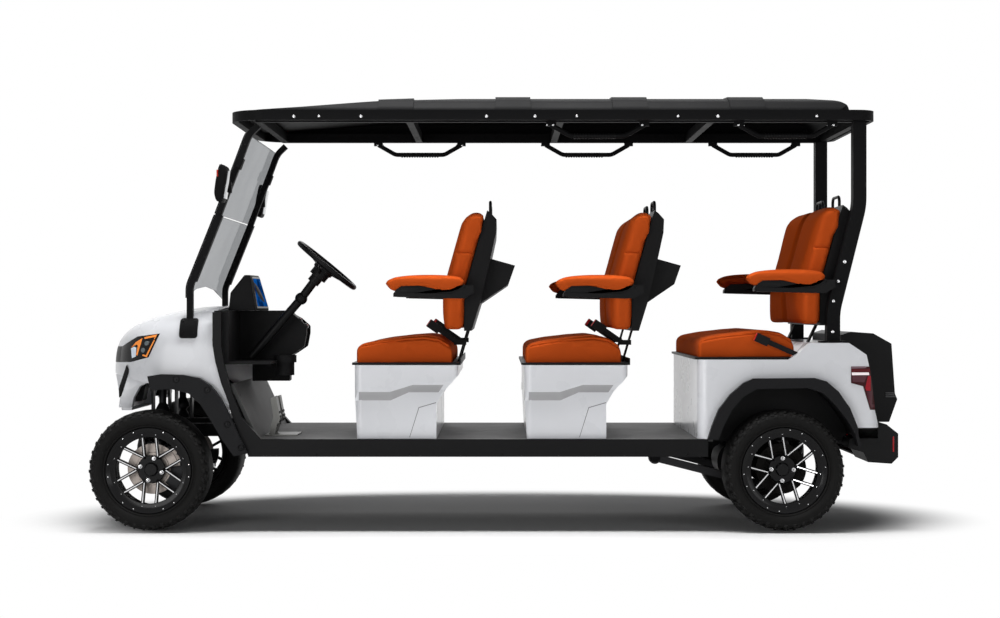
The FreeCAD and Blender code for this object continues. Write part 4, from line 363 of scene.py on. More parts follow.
def rim_casting():
    """The rim's barrel, ring, spokes, hub pad and cap, around the wheel's own middle."""
    mesh = bmesh.new()
    ring_back, ring_inner_r = rim_face_y - 0.01, rim_bore_r - 0.021
    spun_ring(mesh, [
        (rim_bore_r, -rim_lip_y), (rim_flange_r - 0.003, -rim_lip_y), (rim_flange_r, -rim_lip_y + 0.003),
        (rim_flange_r, -rim_shelf_y), (rim_bead_r, -rim_shelf_y + 0.004), (rim_bead_r, rim_shelf_y - 0.004),
        (rim_flange_r, rim_shelf_y), (rim_flange_r, rim_lip_y - 0.003), (rim_flange_r - 0.003, rim_lip_y),
        (rim_bore_r + 0.004, rim_face_y + 0.002), (rim_bore_r, rim_face_y),
        (ring_inner_r + 0.0015, rim_face_y - 0.001), (ring_inner_r, rim_face_y - 0.003),
        (ring_inner_r, ring_back), (rim_bore_r, ring_back),
    ])
    half = Vector((spoke_width, spoke_depth, spoke_length)) / 2
    for place in spoke_places(-spoke_depth / 2):
        bmesh.ops.transform(mesh, verts=add_block(mesh, -half, half, bevel=0.0028), matrix=place)
    cap_y, hub_back, neck_r = hub_y + hub_cap_height, hub_y - 0.022, hub_pad_r * 0.58
    spun_ring(mesh, [
        (cap_face_r, disc_y + 0.009), (neck_r, disc_y + 0.009), (neck_r, hub_back), (hub_pad_r, hub_back),
        (hub_pad_r, hub_y - 0.003), (hub_pad_r - 0.003, hub_y), (hub_cap_r + 0.002, hub_y),
        (hub_cap_r, hub_y + 0.002), (hub_cap_r, cap_y - 0.004), (hub_cap_r - 0.004, cap_y),
        (cap_face_r, cap_y),
    ], steps=48)
    cap = bmesh.ops.create_circle(mesh, cap_ends=True, segments=48, radius=cap_face_r)["verts"]
    bmesh.ops.rotate(mesh, verts=cap, cent=(0, 0, 0), matrix=Matrix.Rotation(math.radians(90), 3, "X"))
    bmesh.ops.translate(mesh, verts=cap, vec=(0, cap_y, 0))
    return mesh


def wheel_stud(mesh, radius, low_y, high_y, thickness, sides, end_radius=None, bevel=0.0):
    """A round piece that points along the axle, straight above it on a circle of this radius."""
    return add_bar(mesh, (0, low_y, radius), (0, high_y, radius), thickness, sides, end_radius, bevel)


def rim_brightwork():
    """The machined spoke tops, the rivets and the lug nuts."""
    mesh = bmesh.new()
    tip_gap, root_gap, proud = 0.004, 0.012, 0.0006
    low = (-0.0026, -0.0016, -spoke_length / 2 + root_gap)
    high = (0.0026, 0.0004, spoke_length / 2 - tip_gap)
    for place in spoke_places(spoke_depth / 2 * (math.hypot(1, spoke_slope) - 1) + proud):
        face = add_block(mesh, low, high, bevel=0.0005, segments=1)
        bmesh.ops.transform(mesh, verts=face, matrix=place)
    rivet_share = (rivet_circle_r - rim_bore_r) / (rim_flange_r - rim_bore_r)
    rivet_y = rim_face_y + (rim_lip_y - rim_face_y) * rivet_share
    for number in range(spoke_count):
        for side in (-1, 1):
            rivet = wheel_stud(mesh, rivet_circle_r, rivet_y - 0.003, rivet_y + 0.0032, 0.0034, 10, 0.0022)
            angle = (number + 0.5) * 360 / spoke_count + side * rivet_half_gap
            bmesh.ops.transform(mesh, verts=rivet, matrix=around(angle))
    for number in range(lug_count):
        seat = wheel_stud(mesh, lug_circle_r, hub_y - 0.001, hub_y + 0.004, 0.0105, 24, 0.009)
        nut = wheel_stud(mesh, lug_circle_r, hub_y + 0.003, hub_y + 0.016, 0.0088, 6, bevel=0.001)
        tip = wheel_stud(mesh, lug_circle_r, hub_y + 0.015, hub_y + 0.021, 0.0062, 16, 0.003)
        turn = around(lug_turn + number * 360 / lug_count)
        bmesh.ops.transform(mesh, verts=seat + nut + tip, matrix=turn)
    return mesh


def brake_disc():
    """The turned disc with its raised hat, seen between the spokes."""
    mesh = bmesh.new()
    spun_ring(mesh, [
        (cap_face_r, disc_y), (disc_r - 0.001, disc_y), (disc_r, disc_y + 0.001), (disc_r, disc_y + 0.007),
        (disc_r - 0.001, disc_y + 0.008), (0.076, disc_y + 0.008), (0.074, disc_y + 0.0105),
        (cap_face_r, disc_y + 0.0105),
    ], steps=72)
    return mesh


def placed_copy(mesh, matrix):
    """A copy of a finished bmesh moved by a matrix, which may mirror it."""
    copy = mesh.copy()
    bmesh.ops.transform(copy, matrix=matrix, verts=copy.verts)
    return copy


wheel_makers = (
    ("rim", rim_casting(), rim_gloss, "wheel_black"),
    ("rim_bright", rim_brightwork(), machined_face, "bare_steel"),
    ("disc", brake_disc(), disc_iron, "bare_steel"),
)
for end in ("front", "rear"):
    for side in ("left", "right"):
        corner = "_" + end + "_" + side
        for part_name, mesh, paint, slot in wheel_makers:
            if part_name == "disc" and end == "rear":
                paint = drum_black
            copy = placed_copy(mesh, wheel_place(end, side))
            piece = new_piece("dressed_" + part_name + corner, copy, paint, "wheel" + corner, slot)
            if part_name == "rim":
                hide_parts("rim" + corner)

# The tyres: low-profile all-terrain tyres of black rubber, with a smooth sidewall band beside the bead
# and a tread of staggered blocks, laid out flat here and then wrapped round the carcass.
tyre_r = 0.28
tyre_half_width = 0.1175
tread_depth = 0.0095
crown_r = tyre_r - tread_depth
widest_r = 0.228
tyre_squareness = 2 / 3.1
tyre_pitches = 38
tyre_rubber = finish_paint(
    "tyre_rubber", (0.0071, 0.0069, 0.0067), 0.62, grain=0.35, grain_size=700.0, dust=0.012,
)


def tyre_skin(angle):
    """A point of the cross-section as (y, radius) and the way out from it, for an angle from the crown."""
    swing = math.copysign(abs(math.sin(angle)) ** tyre_squareness, angle)
    lift = abs(math.cos(angle)) ** tyre_squareness
    half = tyre_half_width - tread_depth / 3
    out = Vector((half * swing, widest_r + (crown_r - widest_r) * lift))
    steep = 2 / tyre_squareness - 1
    away = Vector((math.copysign(abs(swing) ** steep / half, swing), lift ** steep / (crown_r - widest_r)))
    return out, away.normalized()


def tyre_carcass():
    """The carcass from bead to bead, with a rim-guard rib and a step at the edge of the sidewall band."""
    mesh = bmesh.new()
    upper = [tyre_skin(math.radians(angle))[0].yx for angle in (90, 80, 66, 52, 40, 28, 16, 6)]
    wall = [
        (rim_bead_r + 0.0006, rim_shelf_y - 0.0006), (rim_flange_r + 0.0008, rim_shelf_y + 0.001),
        (rim_flange_r + 0.002, rim_lip_y - 0.001), (rim_flange_r + 0.006, rim_lip_y + 0.0035),
        (rim_flange_r + 0.009, rim_lip_y + 0.004), (rim_flange_r + 0.011, rim_lip_y + 0.0025),
        (rim_flange_r + 0.018, rim_lip_y + 0.011), (rim_flange_r + 0.0245, rim_lip_y + 0.0152),
        (rim_flange_r + 0.0262, rim_lip_y + 0.0162),
    ]
    half = wall + upper
    spun_ring(mesh, half + [(r, -y) for r, y in half[::-1]], steps=120)
    return mesh


def add_tread_block(mesh, pitch, side, start, end, low, high, skew, height, shift):
    """A block that narrows upwards, swept along the tread, with its foot sunk in the carcass."""
    base = Vector((start * pitch, math.radians(low), 0.0))
    top = Vector((end * pitch, math.radians(high), 1.0))
    earlier = set(mesh.verts)
    verts = add_block(mesh, base, top)
    edges = {edge for vert in verts for edge in vert.link_edges}
    across = [edge for edge in edges if abs(edge.verts[0].co.y - edge.verts[1].co.y) > 0.01]
    bmesh.ops.subdivide_edges(mesh, edges=across, cuts=2, use_grid_fill=True)
    middle = (base + top) / 2
    foot_share, foot_spread, top_share = 0.1, 1.06, 0.86
    for vert in [vert for vert in mesh.verts if vert not in earlier]:
        inset = top_share if vert.co.z > 0.5 else foot_spread
        along = middle.x + (vert.co.x - middle.x) * inset
        turn = middle.y + (vert.co.y - middle.y) * (0.5 + inset / 2)
        along += skew * pitch * (turn - middle.y) / math.radians(10)
        vert.co = Vector((along + shift, side * turn, height * vert.co.z - foot_share))


def tread_strip():
    """One pitch of the tread, flat: x runs round the tyre, y is the angle from the crown and z is height."""
    mesh = bmesh.new()
    pitch = math.tau / tyre_pitches
    # Shares of a pitch, degrees from the crown, skew, height and shift of each block; the right half is
    # half a pitch late.
    rows = (
        (0.04, 0.72, 3.0, 14.5, 0.10, 1.0, 0.0), (0.10, 0.66, 16.5, 33.0, -0.12, 1.0, 0.34),
        (0.02, 0.60, 36.0, 64.0, 0.05, 1.0, 0.12), (0.12, 0.52, 63.0, 79.0, 0.0, 0.62, 0.12),
        (0.68, 0.94, 40.0, 58.0, -0.06, 0.85, 0.12),
    )
    for side, late in ((-1, 0.0), (1, 0.5)):
        for start, end, low, high, skew, height, shift in rows:
            add_tread_block(mesh, pitch, side, start, end, low, high, skew, height, (late + shift) * pitch)
    return mesh


def wrapped_tread():
    """The strip repeated round the wheel and laid on the carcass."""
    flat = tread_strip()
    whole = bmesh.new()
    for number in range(tyre_pitches):
        join(whole, placed_copy(flat, Matrix.Translation((number * math.tau / tyre_pitches, 0, 0))))
    for vert in whole.verts:
        angle, lean, height = vert.co
        (y, r), away = tyre_skin(lean)
        y += away.x * height * tread_depth
        r += away.y * height * tread_depth
        vert.co = Vector((r * math.sin(angle), y, r * math.cos(angle)))
    return whole


tyre_mesh = tyre_carcass()
join(tyre_mesh, wrapped_tread())
for end in ("front", "rear"):
    for side in ("left", "right"):
        corner = "_" + end + "_" + side
        copy = placed_copy(tyre_mesh, wheel_place(end, side))
        tyre = new_piece("treaded_tyre" + corner, copy, tyre_rubber, "wheel" + corner, "tyre", 28.0)
        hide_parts("tyre" + corner)


# The floor: a sheet-metal deck under a ribbed rubber mat, between black extruded sills that are
# screwed on through their faces every 0.42 m.
def ribbed_rubber(name, colour, spacing):
    """Moulded rubber with straight ribs along the cart and a sandy grain."""
    paint = finish_paint(name, colour, 0.62)
    add_nodes(
        paint.node_tree,
        {
            "place": "TexCoord", "ribs": "TexWave bands_direction Y", "sand": "TexNoise",
            "height": "Math operation MULTIPLY_ADD", "bump": "Bump",
        },
        (
            ("ribs", "Scale", 1.0 / spacing), ("sand", "Scale", 500.0), ("height", 1, 0.3),
            ("bump", "Strength", 0.5), ("bump", "Distance", 0.0015),
        ),
        (
            ("place", "Object", "ribs", "Vector"), ("place", "Object", "sand", "Vector"),
            ("sand", "Fac", "height", 0), ("ribs", "Fac", "height", 2), ("height", 0, "bump", "Height"),
            ("bump", "Normal", "shader", "Normal"),
        ),
    )
    return paint


def add_screw(mesh, place, out, radius=0.006, height=0.003, sides=16):
    """A low domed screw head that sits on a surface and points along a direction."""
    place, out = Vector(place), Vector(out).normalized()
    shoulder = place + out * height * 0.5
    add_bar(mesh, place - out * 0.001, shoulder, radius, sides)
    add_bar(mesh, shoulder, place + out * height, radius, sides, end_radius=radius * 0.55)


deck_mat = ribbed_rubber("deck_mat", (0.05, 0.05, 0.05), 0.16)
dress(deck_mat, "floor_deck")
sill_black = finish_paint("sill_black", (0.0055, 0.0055, 0.0059), 0.42, grain=0.25, grain_size=600.0)
dress(sill_black, "side_sills", "wheel_liners")
sill_face_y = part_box("side_sills")[1][1]
first_screw_x, screw_pitch, screw_count, screw_z = -0.82, 0.42, 5, 0.352
sill_screws = bmesh.new()
for number in range(screw_count):
    for side in (-1, 1):
        place = (first_screw_x + number * screw_pitch, side * sill_face_y, screw_z)
        add_screw(sill_screws, place, (0, side, 0), 0.0055)
screw_black = finish_paint("screw_black", (0.0084, 0.0084, 0.0088), 0.3, metal=0.8)
new_piece("sill_screws", sill_screws, screw_black, slot="black_metal")


# The front cowl: one gloss-white shell over nose, hood and fenders, with a white cheek plate and a dark
# wedge at each side of the nose, and black moulded flares that are bolted on through recessed bosses.
def node_tree(*names):
    """A search tree over the surfaces of CAD nodes."""
    verts, faces = [], []
    for name in names:
        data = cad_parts[name].data
        faces += [[index + len(verts) for index in face.vertices] for face in data.polygons]
        verts += [vert.co.copy() for vert in data.vertices]
    return BVHTree.FromPolygons(verts, faces)


def side_hits(tree, places, least_y=0.0):
    """The points and normals where rays from both sides of the cart meet a surface at (x, z) places."""
    for side in (-1, 1):
        for x, z in places:
            hit, normal, _, _ = tree.ray_cast(Vector((x, side * 0.9, z)), Vector((0, -side, 0)))
            if hit is not None and abs(hit.y) > least_y:
                yield hit, normal


def laid_panel(mesh, outline, tree, side, proud, thickness=0.002, spacing=0.02):
    """A thin panel with an outline of (x, z) points, laid from the side on a curved surface."""
    far_y, near_y, least_y = 0.9, 0.54, 0.2
    panel = bmesh.new()
    panel.faces.new([panel.verts.new((x, 0, z)) for x, z in outline])
    xs, zs = [x for x, z in outline], [z for x, z in outline]
    for normal, low, high in (((1, 0, 0), min(xs), max(xs)), ((0, 0, 1), min(zs), max(zs))):
        for step in range(1, int((high - low) / spacing) + 1):
            at = low + step * spacing
            place = (at, 0, 0) if normal[0] else (0, 0, at)
            geom = panel.verts[:] + panel.edges[:] + panel.faces[:]
            bmesh.ops.bisect_plane(panel, geom=geom, plane_co=place, plane_no=normal)
    bmesh.ops.triangulate(panel, faces=[face for face in panel.faces if len(face.verts) > 4])
    for vert in panel.verts:
        start = Vector((vert.co.x, side * far_y, vert.co.z))
        hit = tree.ray_cast(start, Vector((0, -side, 0)))[0]
        if hit is None or abs(hit.y) < least_y:
            hit = tree.find_nearest(Vector((vert.co.x, side * near_y, vert.co.z)))[0]
        vert.co = Vector((vert.co.x, hit.y + side * proud, vert.co.z))
    thicken(panel, panel.faces[:], (0, -side * thickness, 0))
    join(mesh, panel)


body_white = finish_paint("body_white", (0.74, 0.75, 0.78), 0.28, coat=0.3)
dress(body_white, "front_cowl")
flare_black = finish_paint("flare_black", (0.0088, 0.0088, 0.0097), 0.5, grain=0.4, grain_size=800.0)
dress(flare_black, "fender_flares")
dress(sill_black, "front_grille")
cowl_tree = node_tree("front_cowl", "headlamps", "front_grille")
nose_wedge = (
    (-1.7, 0.752), (-1.684, 0.731), (-1.7, 0.68), (-1.7225, 0.611), (-1.7325, 0.604), (-1.7345, 0.644),
    (-1.706, 0.731),
)
nose_cheek = (
    (-1.7, 0.722), (-1.6626, 0.7244), (-1.6122, 0.6935), (-1.6053, 0.6706), (-1.6374, 0.6557),
    (-1.666, 0.6042), (-1.6751, 0.5584), (-1.735, 0.5584), (-1.727, 0.62),
)
cheek_y = 0.5


def cut_plate(outline, face_y, depth, bevel):
    """A pair of flat plates, one a side, with an outline of (x, z) points and eased edges."""
    mesh = bmesh.new()
    for side in (-1, 1):
        face = mesh.faces.new([mesh.verts.new((x, side * face_y, z)) for x, z in outline])
        thicken(mesh, [face], (0, -side * depth, 0))
    ease(mesh, mesh.edges[:], bevel)
    return mesh


inner_panel = ((-1.215, 0.62), (-1.178, 0.62), (-1.15, 0.5), (-1.187, 0.5))
new_piece("inner_panels", cut_plate(inner_panel, 0.5, 0.012, 0.002), sill_black)
new_piece("nose_cheeks", cut_plate(nose_cheek, cheek_y, 0.05, 0.003), body_white, slot="body_white")
new_piece("nose_wedges", cut_plate(nose_wedge, cheek_y + 0.003, 0.04, 0.001), sill_black)

flare_face_y = 0.64
boss_places = ((-1.446, 0.692), (-1.306, 0.645), (-1.216, 0.49), (-1.154, 0.385))
boss_r = 0.0145
boss_mesh = bmesh.new()
for x, z in boss_places:
    for side in (-1, 1):
        face, out = Vector((x, side * flare_face_y, z)), Vector((0, side, 0))
        cup = bmesh.ops.create_cone(
            boss_mesh, cap_ends=False, segments=28, radius1=boss_r, radius2=boss_r * 0.8, depth=0.006,
        )["verts"]
        turn = Matrix.Translation(face + out * 0.0025) @ Matrix.Rotation(math.radians(side * -90), 4, "X")
        bmesh.ops.transform(boss_mesh, verts=cup, matrix=turn)
        add_bar(boss_mesh, face - out * 0.001, face + out * 0.0015, boss_r * 0.82, 28)
        add_bar(boss_mesh, face, face + out * 0.0045, boss_r * 0.42, 6, bevel=0.0008)
new_piece("flare_bosses", boss_mesh, screw_black)

# The headlamps: smoked glossy housings let into the cowl, with an amber light guide that bends like a
# seven, a white daytime lamp at the front corner and two projector lenses in the dark field.
def glowing(name, colour, strength):
    """A lit lens: its own colour under gloss, with a little light of its own."""
    lens = finish_paint(name, colour, 0.2, coat=0.1)
    add_nodes(lens.node_tree, {}, (
        ("shader", "Specular IOR Level", 0.15), ("shader", "Emission Color", (*colour, 1)),
        ("shader", "Emission Strength", strength),
    ))
    return lens


lamp_dark = finish_paint("lamp_dark", (0.005, 0.005, 0.0059), 0.14, coat=0.15)
dress(lamp_dark, "headlamps")
lamp_amber = glowing("lamp_amber", (0.9, 0.27, 0.045), 0.28)
lamp_white = glowing("lamp_white", (0.72, 0.8, 0.92), 0.15)
projector_glass = finish_paint("projector_glass", (0.1, 0.12, 0.13), 0.08, metal=0.7, coat=0.4)
amber_guides = (
    (
        (-1.6765, 0.831), (-1.654, 0.857), (-1.6185, 0.877), (-1.623, 0.857), (-1.642, 0.797),
        (-1.649, 0.799), (-1.6405, 0.842), (-1.646, 0.8475), (-1.66, 0.842),
    ),
    ((-1.609, 0.881), (-1.5465, 0.894), (-1.558, 0.872), (-1.562, 0.8725), (-1.556, 0.883), (-1.607, 0.873)),
    ((-1.556, 0.868), (-1.594, 0.79), (-1.616, 0.797), (-1.614, 0.803), (-1.598, 0.799), (-1.562, 0.868)),
)
day_lamp = ((-1.677, 0.829), (-1.66, 0.838), (-1.648, 0.832), (-1.65, 0.793), (-1.671, 0.785))
amber_mesh, white_mesh, lens_mesh = bmesh.new(), bmesh.new(), bmesh.new()
for side in (-1, 1):
    for guide in amber_guides:
        laid_panel(amber_mesh, guide, cowl_tree, side, 0.0014, spacing=0.01)
    laid_panel(white_mesh, day_lamp, cowl_tree, side, 0.0013, spacing=0.012)
for hit, normal in side_hits(cowl_tree, ((-1.596, 0.853), (-1.613, 0.822))):
    add_bar(lens_mesh, hit - normal * 0.002, hit + normal * 0.0022, 0.0125, 28, end_radius=0.0105)
new_piece("lamp_amber_guides", amber_mesh, lamp_amber, slot="lamp_lens")
new_piece("lamp_day_lights", white_mesh, lamp_white, slot="lamp_lens")
new_piece("lamp_projectors", lens_mesh, projector_glass, slot="lamp_lens")


# The dashboard: one black moulded panel with open cubbies and a cup ring, a tall pod for the colour
# display with its face turned to the driver, and rocker switches beside the column.
dash_black = finish_paint("dash_black", (0.0071, 0.0071, 0.0076), 0.55, grain=0.5, grain_size=650.0)
passenger_taper = 0.085
taper_start_y, taper_run_y = 0.02, 0.42
taper_start_x, taper_run_x = -1.16, 0.2
dash_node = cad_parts["dashboard"]
dash_mesh = bmesh.new()
dash_mesh.from_mesh(dash_node.data)
bmesh.ops.transform(dash_mesh, matrix=dash_node.matrix_world, verts=dash_mesh.verts)
for vert in dash_mesh.verts:
    across = min(1.0, max(0.0, (vert.co.y - taper_start_y) / taper_run_y))
    back = min(1.0, max(0.0, (vert.co.x - taper_start_x) / taper_run_x))
    vert.co.x -= passenger_taper * across * back
dash_piece = new_piece("dash_moulding", dash_mesh, dash_black)
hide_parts("dashboard")
pod_sides = {-0.34: (-1.156, -1.132), -0.145: (-1.140, -1.09)}
pod_low_z, pod_top_z, pod_front_x = 1.0025, 1.168, -1.256
pod_out = Vector((0.93, -0.2, 0.3))
pod_mesh = bmesh.new()
for y, (top_x, low_x) in pod_sides.items():
    pod_front = ((pod_front_x, pod_low_z), (-1.247, 1.086), (-1.182, pod_top_z))
    for x, z in pod_front + ((top_x, pod_top_z), (low_x, pod_low_z)):
        pod_mesh.verts.new((x, y, z))
bmesh.ops.convex_hull(pod_mesh, input=pod_mesh.verts)
bmesh.ops.dissolve_limit(pod_mesh, angle_limit=0.09, verts=pod_mesh.verts, edges=pod_mesh.edges)
ease(pod_mesh, pod_mesh.edges[:], 0.004, segments=3)
screen_pod = new_piece("screen_pod", pod_mesh, dash_black)
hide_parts("display_pod")


def pod_face(across, up, out):
    """A place on the pod's slanted face: across it, up it, and out of it."""
    edges = []
    for y, (top_x, low_x) in sorted(pod_sides.items()):
        low, high = Vector((low_x, y, pod_low_z)), Vector((top_x, y, pod_top_z))
        edges.append(low + (high - low) * up)
    return edges[0] + (edges[1] - edges[0]) * across + pod_out * out


def face_plate(low, high, out, depth):
    """A thin plate on the pod's face between two (across, up) corners."""
    plate = bmesh.new()
    bmesh.ops.create_grid(plate, x_segments=8, y_segments=8, size=0.5)
    for vert in plate.verts:
        across = low[0] + (high[0] - low[0]) * (vert.co.x + 0.5)
        up = low[1] + (high[1] - low[1]) * (vert.co.y + 0.5)
        vert.co = pod_face(across, up, out)
    thicken(plate, plate.faces[:], (-depth, 0, 0))
    return plate


bezel_black = finish_paint("bezel_black", (0.012, 0.012, 0.014), 0.3, coat=0.6)
bezel_plate = face_plate((0.17, 0.06), (0.97, 0.95), 0.0025, 0.006)
new_piece("display_bezel", bezel_plate, bezel_black)
screen_blue = node_material(
    "screen_blue",
    {"place": "TexCoord", "bands": "TexNoise", "ramp": "ValToRGB"},
    (
        ("shader", "Roughness", 0.15), ("shader", "Specular IOR Level", 0.0),
        ("shader", "Emission Strength", 0.75), ("bands", "Scale", 16.0),
    ),
    (
        ("place", "Object", "bands", "Vector"), ("bands", "Fac", "ramp", "Fac"),
        ("ramp", "Color", "shader", "Base Color"), ("ramp", "Color", "shader", "Emission Color"),
    ),
)
screen_ramp = screen_blue.node_tree.nodes["Color Ramp"].color_ramp
screen_shades = ((0.4, (0.001, 0.018, 0.09, 1)), (0.66, (0.004, 0.09, 0.36, 1)))
for stop, (place, colour) in zip(screen_ramp.elements, screen_shades):
    stop.color = colour
    stop.position = place
new_piece("display_glass", face_plate((0.22, 0.11), (0.92, 0.9), 0.0042, 0.003), screen_blue, slot="glass")


def rear_hits(tree, places):
    """The points and normals where rays from the driver's seat meet a surface at (y, z) places."""
    for y, z in places:
        hit, normal, _, _ = tree.ray_cast(Vector((-0.6, y, z)), Vector((-1, 0, 0)))
        if hit is not None:
            yield hit, normal


switch_black = finish_paint("switch_black", (0.012, 0.012, 0.013), 0.3, grain=0.2)
switch_mesh = bmesh.new()
key_mesh = bmesh.new()
switch_places = [(y, z) for y in (-0.19, -0.14, -0.09) for z in (0.958, 0.93)]
for hit, normal in rear_hits(node_tree("dashboard"), switch_places):
    turn = Matrix.Translation(hit) @ normal.to_track_quat("X", "Z").to_matrix().to_4x4()
    seat = add_block(switch_mesh, (-0.003, -0.018, -0.012), (0.003, 0.018, 0.012), bevel=0.001)
    rocker = add_block(switch_mesh, (0.0, -0.015, -0.009), (0.007, 0.015, 0.009), bevel=0.002, segments=2)
    mark = add_block(key_mesh, (0.0065, -0.007, -0.003), (0.0078, 0.007, 0.003), bevel=0.0004, segments=1)
    bmesh.ops.transform(switch_mesh, matrix=turn, verts=seat + rocker)
    bmesh.ops.transform(key_mesh, matrix=turn, verts=mark)
new_piece("dash_switches", switch_mesh, switch_black)
new_piece("switch_lights", key_mesh, glowing("switch_red", (0.5, 0.03, 0.02), 0.3), slot="lamp_lens")

# The controls: a raked steering column with stalks, a three-spoke moulded wheel with a plain horn pad
# on a stepped boss, and dull steel pedals with rubber treads.
control_black = finish_paint("control_black", (0.0055, 0.0055, 0.0059), 0.38, grain=0.3, grain_size=900.0)
dress(control_black, "steering_column", "steering_wheel")
dress(finish_paint("pedal_steel", (0.1, 0.1, 0.095), 0.38, metal=0.9, grain=0.1), "pedals")
wheel_middle = Vector((-0.8, -0.3, 1.214))
wheel_axis = Vector((0.63608, 0.0, 0.77162))
wheel_turn = wheel_axis.to_track_quat("Z", "Y").to_matrix().to_4x4()
horn = bmesh.new()
boss_steps = ((-0.012, 0.052, 0.05), (-0.03, 0.05, 0.036), (-0.055, 0.036, 0.027))
for low_z, top_r, low_r in boss_steps:
    add_bar(horn, (0, 0, low_z), (0, 0, low_z - 0.024), top_r, 36, end_radius=low_r, bevel=0.002)
add_bar(horn, (0, 0, -0.012), (0, 0, 0.002), 0.05, 36, end_radius=0.044, bevel=0.003)
bmesh.ops.transform(horn, matrix=Matrix.Translation(wheel_middle) @ wheel_turn, verts=horn.verts)
new_piece("horn_pad", horn, control_black, "steering_wheel", "black_plastic")
stalks = bmesh.new()
stalk_root = wheel_middle - wheel_axis * 0.055
for side in (-1, 1):
    tip = stalk_root + Vector((0.015, side * 0.125, 0.035))
    add_bar(stalks, stalk_root + Vector((0, side * 0.02, 0)), tip, 0.0055, 14, end_radius=0.0048)
    knob_end = tip + Vector((0.004, side * 0.03, 0.009))
    add_bar(stalks, tip, knob_end, 0.009, 16, end_radius=0.0075, bevel=0.002)
new_piece("column_stalks", stalks, control_black)
tread_ys = (-0.385, -0.365, -0.345, -0.255, -0.235, -0.215)
tread_places = [(y, z) for y in tread_ys for z in (0.47, 0.49, 0.51, 0.53)]
treads = bmesh.new()
for hit, normal in rear_hits(node_tree("pedals"), tread_places):
    add_bar(treads, hit - normal * 0.001, hit + normal * 0.0035, 0.006, 12, end_radius=0.005)
new_piece("pedal_treads", treads, control_black)


# The screen frame and roof: powder-coated pillars that stand in cast feet on the hood, a folding tinted
# windshield between clamps, mirrors on stalks, and one long moulded roof with raised ribs.
roof_black = finish_paint(
    "roof_black", (0.0059, 0.0059, 0.0063), 0.55, grain=0.25, grain_size=500.0, shine=0.05,
)
dress(roof_black, "roof_shell", "front_pillars", "rear_pillars", "grab_handles")
tinted_glass = node_material(
    "tinted_glass",
    {"place": "TexCoord", "haze": "TexNoise", "shades": "Mix data_type RGBA"},
    (
        ("shader", "Roughness", 0.03), ("shader", "Transmission Weight", 1.0), ("shader", "IOR", 1.03),
        ("shader", "Specular IOR Level", 0.6), ("haze", "Scale", 3.0),
        ("shades", "A", (0.27, 0.28, 0.29, 1)), ("shades", "B", (0.38, 0.39, 0.4, 1)),
    ),
    (
        ("place", "Object", "haze", "Vector"), ("haze", "Fac", "shades", "Factor"),
        ("shades", "Result", "shader", "Base Color"),
    ),
)
dress(tinted_glass, "windshield")

pillar_screws = bmesh.new()
foot_screws = ((-1.43, 0.9), (-1.375, 0.9), (-1.43, 0.955), (-1.372, 0.955))
clamp_screws = ((-1.335, 1.25), (-1.262, 1.45), (-1.185, 1.66), (-1.15, 1.76))
for hit, normal in side_hits(node_tree("front_pillars"), foot_screws + clamp_screws, 0.45):
    add_screw(pillar_screws, hit, normal, 0.006, 0.0035)
new_piece("pillar_screws", pillar_screws, screw_black, slot="black_metal")
rear_bolts = bmesh.new()
rear_bolt_places = ((1.583, 1.225), (1.555, 1.135), (1.533, 1.045), (1.53, 0.905), (1.49, 0.905))
for hit, normal in side_hits(node_tree("rear_pillars"), rear_bolt_places, 0.35):
    add_screw(rear_bolts, hit, normal, 0.0075, 0.004)
new_piece("pillar_bolts", rear_bolts, bright_steel, slot="bare_steel")

mirror_outline = (
    (-1.2549, 1.4888), (-1.2281, 1.4843), (-1.2178, 1.5263), (-1.2057, 1.6005), (-1.2102, 1.6483),
    (-1.2325, 1.6565), (-1.2433, 1.6528), (-1.258, 1.5858), (-1.2656, 1.5263),
)
mirror_y, mirror_half, mirror_edge = 0.668, 0.058, 0.012
mirror_lean = 9.5
clamp_y = 0.585
mirror_shells = cut_plate(mirror_outline, mirror_y + mirror_half, 2 * mirror_half, mirror_edge)
mirror_faces, mirror_marks = bmesh.new(), bmesh.new()
for side in (-1, 1):
    stalk_root, stalk_tip = (-1.228, side * 0.592, 1.56), (-1.234, side * 0.625, 1.57)
    add_bar(mirror_shells, stalk_root, stalk_tip, 0.009, bevel=0.001)
    clamp_low, clamp_high = (-1.252, side * clamp_y - 0.012, 1.535), (-1.204, side * clamp_y + 0.012, 1.585)
    add_block(mirror_shells, clamp_low, clamp_high, bevel=0.004)
    face = add_block(mirror_faces, (-0.002, -0.045, -0.062), (0.0012, 0.045, 0.062), bevel=0.001)
    lean = Matrix.Rotation(math.radians(mirror_lean), 4, "Y")
    place = Matrix.Translation((-1.2105, side * mirror_y, 1.565))
    bmesh.ops.transform(mirror_faces, matrix=place @ lean, verts=face)
    mark_y = side * (mirror_y + mirror_half)
    add_block(mirror_marks, (-1.252, mark_y - 0.002, 1.6), (-1.245, mark_y + 0.0015, 1.63), bevel=0.0006)
mirror_piece = new_piece("mirror_shells", mirror_shells, roof_black)
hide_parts("mirrors")
mirror_silver = finish_paint("mirror_silver", (0.42, 0.43, 0.44), 0.05, metal=1.0)
new_piece("mirror_faces", mirror_faces, mirror_silver, slot="glass")
new_piece("mirror_marks", mirror_marks, glowing("marker_red", (0.45, 0.03, 0.02), 0.1), slot="lamp_lens")

